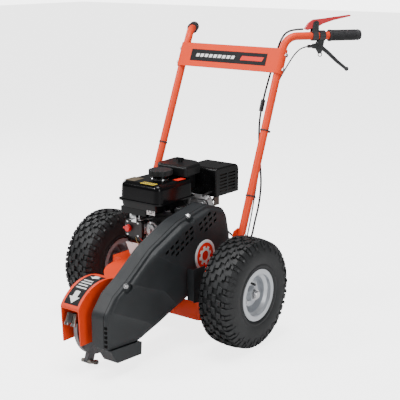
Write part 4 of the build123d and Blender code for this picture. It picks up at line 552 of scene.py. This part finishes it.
for (y, z), count in SLOTS:
    for k in range(count):
        spot = Vector((y, z)) + SLOT_WAY * k
        ends = [spot - SLOT_HALF - SLOT_RISE, spot + SLOT_HALF - SLOT_RISE,
                spot + SLOT_HALF + SLOT_RISE, spot - SLOT_HALF + SLOT_RISE]
        prism(cutter, [pt(SLOT_FLOOR, *p) for p in ends], [pt(CUT_TOP, *p) for p in ends])
slot_faces = len(cutter.faces)
for (y, z), way in NOTCHES:
    out = Vector((math.cos(math.radians(way)), math.sin(math.radians(way))))
    side = Vector((out.y, -out.x))
    middle = Vector((y, z))
    shape = [middle + out * NOTCH_REACH + side * NOTCH_R, middle + out * NOTCH_REACH - side * NOTCH_R]
    for k in range(13):
        turn = math.pi * k / 12
        shape.append(middle - side * NOTCH_R * math.cos(turn) - out * NOTCH_R * math.sin(turn))
    prism(cutter, [pt(NOTCH_FLOOR, *p) for p in shape], [pt(CUT_TOP, *p) for p in shape])
cut_obj = from_bmesh("cutter_tmp", cutter)
cut_obj.data.materials.append(MATS["cover_plastic"])
cut_obj.data.materials.append(SHADE_AND_SEAM_DARK)
# the slots' walls and floors take the near-black material, painted shade in the recesses; the notches keep
# the cover's plastic
for face in cut_obj.data.polygons:
    if face.index < slot_faces:
        face.material_index = 1
shell.data.materials.append(MATS["cover_plastic"])
boolean = shell.modifiers.new("slots", "BOOLEAN")
boolean.object = cut_obj
boolean.operation = "DIFFERENCE"
boolean.solver = "EXACT"
boolean.material_mode = "TRANSFER"
bpy.context.view_layer.update()
baked = bpy.data.meshes.new_from_object(shell.evaluated_get(bpy.context.evaluated_depsgraph_get()))
shell.modifiers.clear()
shell.data = baked
bpy.data.objects.remove(cut_obj)
baked.shade_smooth()
baked.set_sharp_from_angle(angle=math.radians(34))
bm = bmesh.new()
bm.from_mesh(baked)
for edge in bm.edges:
    mids = [v.co * 1000 for v in edge.verts]
    if len(edge.link_faces) == 2 and min(m.x for m in mids) > STEP_X + 1 and edge.calc_face_angle() > 0.1:
        near = [[abs(s) < 0.4 for s in crease_depths(m.y - AXLE_Y, m.z)] for m in mids]
        if any(a and b for a, b in zip(*near)):
            edge.smooth = False
bm.to_mesh(baked)
bm.free()
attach(shell, ROOT)
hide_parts("cover_shell")

# small vents at the front edge, drawn as near-black blocks of painted shade, then the dark line in the seam
box_piece("front_vent_shade", [((143, -517.2, 112 + 15 * k), (153, -513, 121 + 15 * k)) for k in range(5)], 0.6,
          SHADE_AND_SEAM_DARK)
SEAM_LINE = (139.2, 140.8)
bm = bmesh.new()
groove = rounded(COVER, COVER_RADII)
centre = sum((p for p in groove), Vector((0, 0))) / len(groove)
for a, b in zip(groove, groove[1:] + groove[:1]):
    if (b - a).length > 0.01:
        way = (b - a).normalized()
        out = Vector((way.y, -way.x)) * 0.25
        if out.dot(a - centre) < 0:
            out = -out
        near, far = SEAM_LINE
        prism(bm, [pt(near, *a), pt(far, *a), pt(far, *b), pt(near, *b)],
              [pt(near, *(a + out)), pt(far, *(a + out)), pt(far, *(b + out)), pt(near, *(b + out))])
add_piece(bm, "seam_line", SHADE_AND_SEAM_DARK)

# badge: bright ring round a red field with a plain toothed wheel
BADGE = (-41.0, 304.0)
BADGE_X = 170.5
GEAR_STEPS = 48
turned_piece("badge_ring", pt(BADGE_X, *BADGE), (1, 0, 0),
             [(0, 55), (2.6, 55), (3.4, 53.5), (3.4, 45), (2.6, 44)], BADGE_SILVER, 72)
turned_piece("badge_field", pt(BADGE_X, *BADGE), (1, 0, 0), [(0, 44.5), (2.9, 44.5), (3.0, 44.0)],
             DECAL_RED, 72)
bm = bmesh.new()
for k in range(GEAR_STEPS):
    a0, a1 = 2 * math.pi * k / GEAR_STEPS, 2 * math.pi * (k + 1) / GEAR_STEPS
    r = 33 if (k // 3) % 2 == 0 else 26
    quad = [(17, a0), (r, a0), (r, a1), (17, a1)]
    flat = [(BADGE[0] + q * math.cos(a), BADGE[1] + q * math.sin(a)) for q, a in quad]
    prism(bm, [pt(173.3, *p) for p in flat], [pt(173.9, *p) for p in flat])
add_piece(bm, "badge_wheel", WHITE)

# dark plate of the cover's plastic over the deck's left side, between the belt cover and the tyre: painted
# shade where the shadow falls on the deck's red wall
bm = bmesh.new()
shade_outline = [(-142, 166), (-142, 283), (-80, 283), (-80, 158)]
prism(bm, [pt(201.0, *p) for p in shade_outline], [pt(203.0, *p) for p in shade_outline])
box_between(bm, (176, -143.5, 172), (203, -142.4, 283), 0.3)
add_piece(bm, "painted_shade_plate", MATS["cover_plastic"])

# ------------------------------------------------------------------ guard decal: band with two arrows
ARCH_Y, ARCH_Z, ARCH_R = -415.0, 143.0, 147.0


def on_arch(x, angle, lift):
    r = ARCH_R + lift
    turn = math.radians(angle)
    return pt(x, ARCH_Y + r * math.cos(turn), ARCH_Z + r * math.sin(turn))


def arch_patch(bm, corners, lift, slices):
    """Thin sheet lying on the arch: corners holds (x, x, degrees) for its start and for its end."""
    (xa0, xa1, a_start), (xb0, xb1, a_end) = corners
    rows = []
    for k in range(slices + 1):
        t = k / slices
        angle = a_start + (a_end - a_start) * t
        x0, x1 = xa0 + (xb0 - xa0) * t, xa1 + (xb1 - xa1) * t
        rows.append([bm.verts.new(on_arch(x0, angle, lift)), bm.verts.new(on_arch(x1, angle, lift))])
    for low, high in zip(rows, rows[1:]):
        bm.faces.new((low[0], low[1], high[1], high[0]))


BAND_LIFT, MARK_LIFT = 0.3, 0.5
bm = bmesh.new()
arch_patch(bm, ((-14, 46, 143), (-14, 46, 84)), BAND_LIFT, 24)
add_piece(bm, "guard_band", DECAL)
bm = bmesh.new()
for tip, neck, tail in ((141, 132, 123), (96, 91, 86)):
    arch_patch(bm, ((15.5, 16.5, tip), (-6, 38, neck)), MARK_LIFT, 8)
    arch_patch(bm, ((6, 26, neck), (6, 26, tail)), MARK_LIFT, 8)
add_piece(bm, "guard_arrows", WHITE)
bm = bmesh.new()
for k in range(4):
    start = 118.5 - 5 * k
    right = 38 - 5 * (k % 2)
    arch_patch(bm, ((-6, right, start), (-6, right, start - 2.2)), MARK_LIFT, 3)
add_piece(bm, "guard_bars", GREY_TAG)

# ------------------------------------------------------------------ ribbed sleeves over the handle's grips
FLARE = math.radians(35.0)      # the grips turn outward from straight back
RIB_PITCH = 5
for sign, hand in ((1, "left"), (-1, "right")):
    low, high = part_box("grip_" + hand)
    way = Vector((sign * math.sin(FLARE), math.cos(FLARE), 0))
    middle = (Vector(low) + Vector(high)) / 2
    span = abs(high[0] - low[0]) * 1000
    radius = (high[2] - low[2]) * 500
    length = (span - 2 * radius * math.cos(FLARE)) / math.sin(FLARE)
    rings = [(0, radius - 6), (0.5, radius - 0.6), (3, radius), (7, radius), (9, radius - 2.4)]
    for k in range(int((length - 22) / RIB_PITCH)):
        foot = 10 + RIB_PITCH * k
        rings += [(foot, radius - 2.6), (foot + 1, radius - 1.2), (foot + 3.4, radius - 1.2),
                  (foot + 4.4, radius - 2.6)]
    rings += [(length - 8, radius - 2.2), (length - 5, radius - 0.8), (length - 1.5, radius - 1.4),
              (length, radius - 5)]
    turned_piece("grip_ribs_" + hand, middle - way * length / 2000, way, rings,
                 MATS["grip_foam"], 40, smooth=50)

# ------------------------------------------------------------------ label on the handle's cross plate
PLATE_LOW = Vector((0, 320.0, 893.0))       # lower edge, on the tubes' axis
SLANT = Vector((0, 0.3714, 0.9285))
PLATE_OUT = Vector((0, -0.9285, 0.3714))
PLATE_FACE = 14.4 + 4.0                     # the plate's front face, from the tubes' axis


def on_brace(x, up, lift):
    p = PLATE_LOW + SLANT * up + PLATE_OUT * (PLATE_FACE + lift)
    return pt(x, p.y, p.z)


def brace_quad(bm, x0, x1, up0, up1, lift, lean=0.0):
    base = [(x0, up0), (x1, up0), (x1 + lean, up1), (x0 + lean, up1)]
    prism(bm, [on_brace(x, u, lift - 0.3) for x, u in base], [on_brace(x, u, lift) for x, u in base])


bm = bmesh.new()
brace_quad(bm, -170, 170, 22, 66, 0.3)
add_piece(bm, "brace_label", DECAL)
bm = bmesh.new()
for k in range(9):
    brace_quad(bm, -146 + 20 * k, -132 + 20 * k, 38, 50, 0.6, 4)
add_piece(bm, "brace_label_bars", WHITE)
bm = bmesh.new()
brace_quad(bm, 56, 152, 36, 52, 0.6, 6)
add_piece(bm, "brace_label_red", DECAL_RED)

# ------------------------------------------------------------------ engine details
GOVERNOR_X, GOVERNOR_Z = -24, 372
turned_piece("governor_cover", pt(GOVERNOR_X, -83, GOVERNOR_Z), (0, -1, 0),
             [(-2, 31), (7, 31), (9, 29), (9, 23), (16, 21), (18, 18), (18, 9), (24, 8), (24.5, 0.5)],
             MATS["cast_aluminium"], 36)
bm = bmesh.new()
for k in range(5):
    turn = math.radians(20 + 72 * k)
    lathe(bm, pt(GOVERNOR_X + 26 * math.cos(turn), -91, GOVERNOR_Z + 26 * math.sin(turn)), (0, -1, 0),
          [(-2, 4.4), (4, 4.4), (4.5, 3.6)], 6)
add_piece(bm, "governor_screws", CHROME)
box_piece("control_plates", [((-104, -114, 411), (-62, -84, 413.5)), ((-116, -100, 404), (-104, -97, 430)),
                             ((-64, -112, 408), (-61, -90, 426)), ((-92, -119, 396), (-70, -116.5, 424))],
          0.6, CHROME)
tube("governor_rod", [(-60, -98, 428), (-40, -94, 440), (-20, -60, 446), (-14, -20, 446)], 1.3,
     CHROME)
WIRE = ((0, -0.5), (0.9, -0.5), (0.9, 0.5), (0, 0.5))


def spring_section(n):
    """The spring wire's section after n steps of 0.9 rad along the coil."""
    turn = 0.9 * n
    return [pt(-50 + 1.4 * n + dx, -104 + 5 * math.cos(turn) + dy, 428 + 5 * math.sin(turn))
            for dx, dy in WIRE]


bm = bmesh.new()
for k in range(26):
    prism(bm, spring_section(k), spring_section(k + 1))
add_piece(bm, "governor_spring", CHROME)
bm = bmesh.new()
for x in (-112, -64):
    for z in (349, 395):
        lathe(bm, pt(x, -116, z), (0, -1, 0), [(-1, 4), (2, 4), (2.4, 3)], 12)
add_piece(bm, "switch_screws", CHROME)
box_piece("switch_bracket", [((-122, -92, 349), (-118, -76, 395)), ((-48, -104, 356), (-44, -84, 392))], 0.5,
          MATS["small_zinc"])
tube("kill_wire", [(-66, -112, 346), (-52, -108, 330), (-40, -98, 322), (-34, -86, 336), (-30, -84, 350)],
     1.6, MATS["knob_red"])
tube("oil_wire", [(-80, -112, 344), (-70, -118, 326), (-56, -112, 316), (-46, -92, 318)], 1.6,
     BRASS)

# green ring round the oil filler, riding on the dipstick
dip = Vector((0, -math.cos(math.radians(30)), math.sin(math.radians(30))))
turned_piece("dipstick_ring", pt(-20, -84, 300) + dip * 0.0125, dip, [(0, 13.4), (3, 13.4), (3.5, 13.0)],
             GREEN, 32, "oil_dipstick")

# square sticker on the shroud, hanging tag, labels on the tank
box_piece("shroud_sticker", [((-10, -131.3, 438), (26, -130.6, 461))], 0, GREY_TAG)
box_piece("shroud_sticker_marks", [((-4 + 7 * k, -131.6, 442 + 6 * m), (0 + 7 * k, -131.2, 446 + 6 * m))
                                   for k in range(4) for m in range(3) if (k + 2 * m) % 3],
          0, DECAL)
bm = bmesh.new()
tag = [(-120, 320), (-62, 322), (-70, 284), (-84, 274), (-104, 276)]
prism(bm, *[[pt(x, front + 0.1 * (320 - z), z) for x, z in tag] for front in (-118, -119)])
add_piece(bm, "hanging_tag", WHITE)
tube("tag_string", [(-92, -116, 343), (-96, -120, 334), (-92, -120, 324), (-90, -118.5, 316)], 0.8,
     MATS["cable_jacket"])
box_piece("tank_label_yellow", [((-42, -128, 543.0), (18, -104, 543.5))], 0, DECAL_YELLOW)
box_piece("tank_label_bars", [((-38 + 9 * k, -124, 543.4), (-33 + 9 * k, -108, 543.7)) for k in range(6)], 0,
          DECAL)
box_piece("tank_label_red", [((16, -22, 543.0), (40, 22, 543.5))], 0, DECAL_RED)
box_piece("tank_label_tan", [((-124, -118, 543.0), (-78, -62, 543.4))], 0, DECAL_TAN)
turned_piece("filler_ring", pt(-34, -28, 542), (0, 0, 1), [(0, 33), (3, 33), (5, 31), (5, 28)],
             CHROME, 48)

# spark plug lead
tube("plug_lead", [(30, 176, 420), (44, 186, 446), (52, 168, 470), (56, 130, 478), (58, 96, 470)], 3.5,
     MATS["cable_jacket"])

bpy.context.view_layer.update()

bpy.ops.mesh.primitive_plane_add(size=40, location=(0, 0, 0))
floor = bpy.context.active_object
floor.name = "floor"
pale = surface("floor_pale", (0.90, 0.90, 0.90), 0.6, tint=0.01, grain=2, bump=0.0, specular=0.1)
floor_tree = pale.node_tree
floor_shader = floor_tree.nodes["Principled BSDF"]
floor_shader.inputs["Emission Color"].default_value = (1, 1, 1, 1)
seen = floor_tree.nodes.new("ShaderNodeLightPath")
lift = floor_tree.nodes.new("ShaderNodeMath")
lift.operation = "MULTIPLY"
lift.inputs[1].default_value = FLOOR_SEEN
floor_tree.links.new(seen.outputs["Is Camera Ray"], lift.inputs[0])
floor_tree.links.new(lift.outputs["Value"], floor_shader.inputs["Emission Strength"])
floor.data.materials.append(pale)
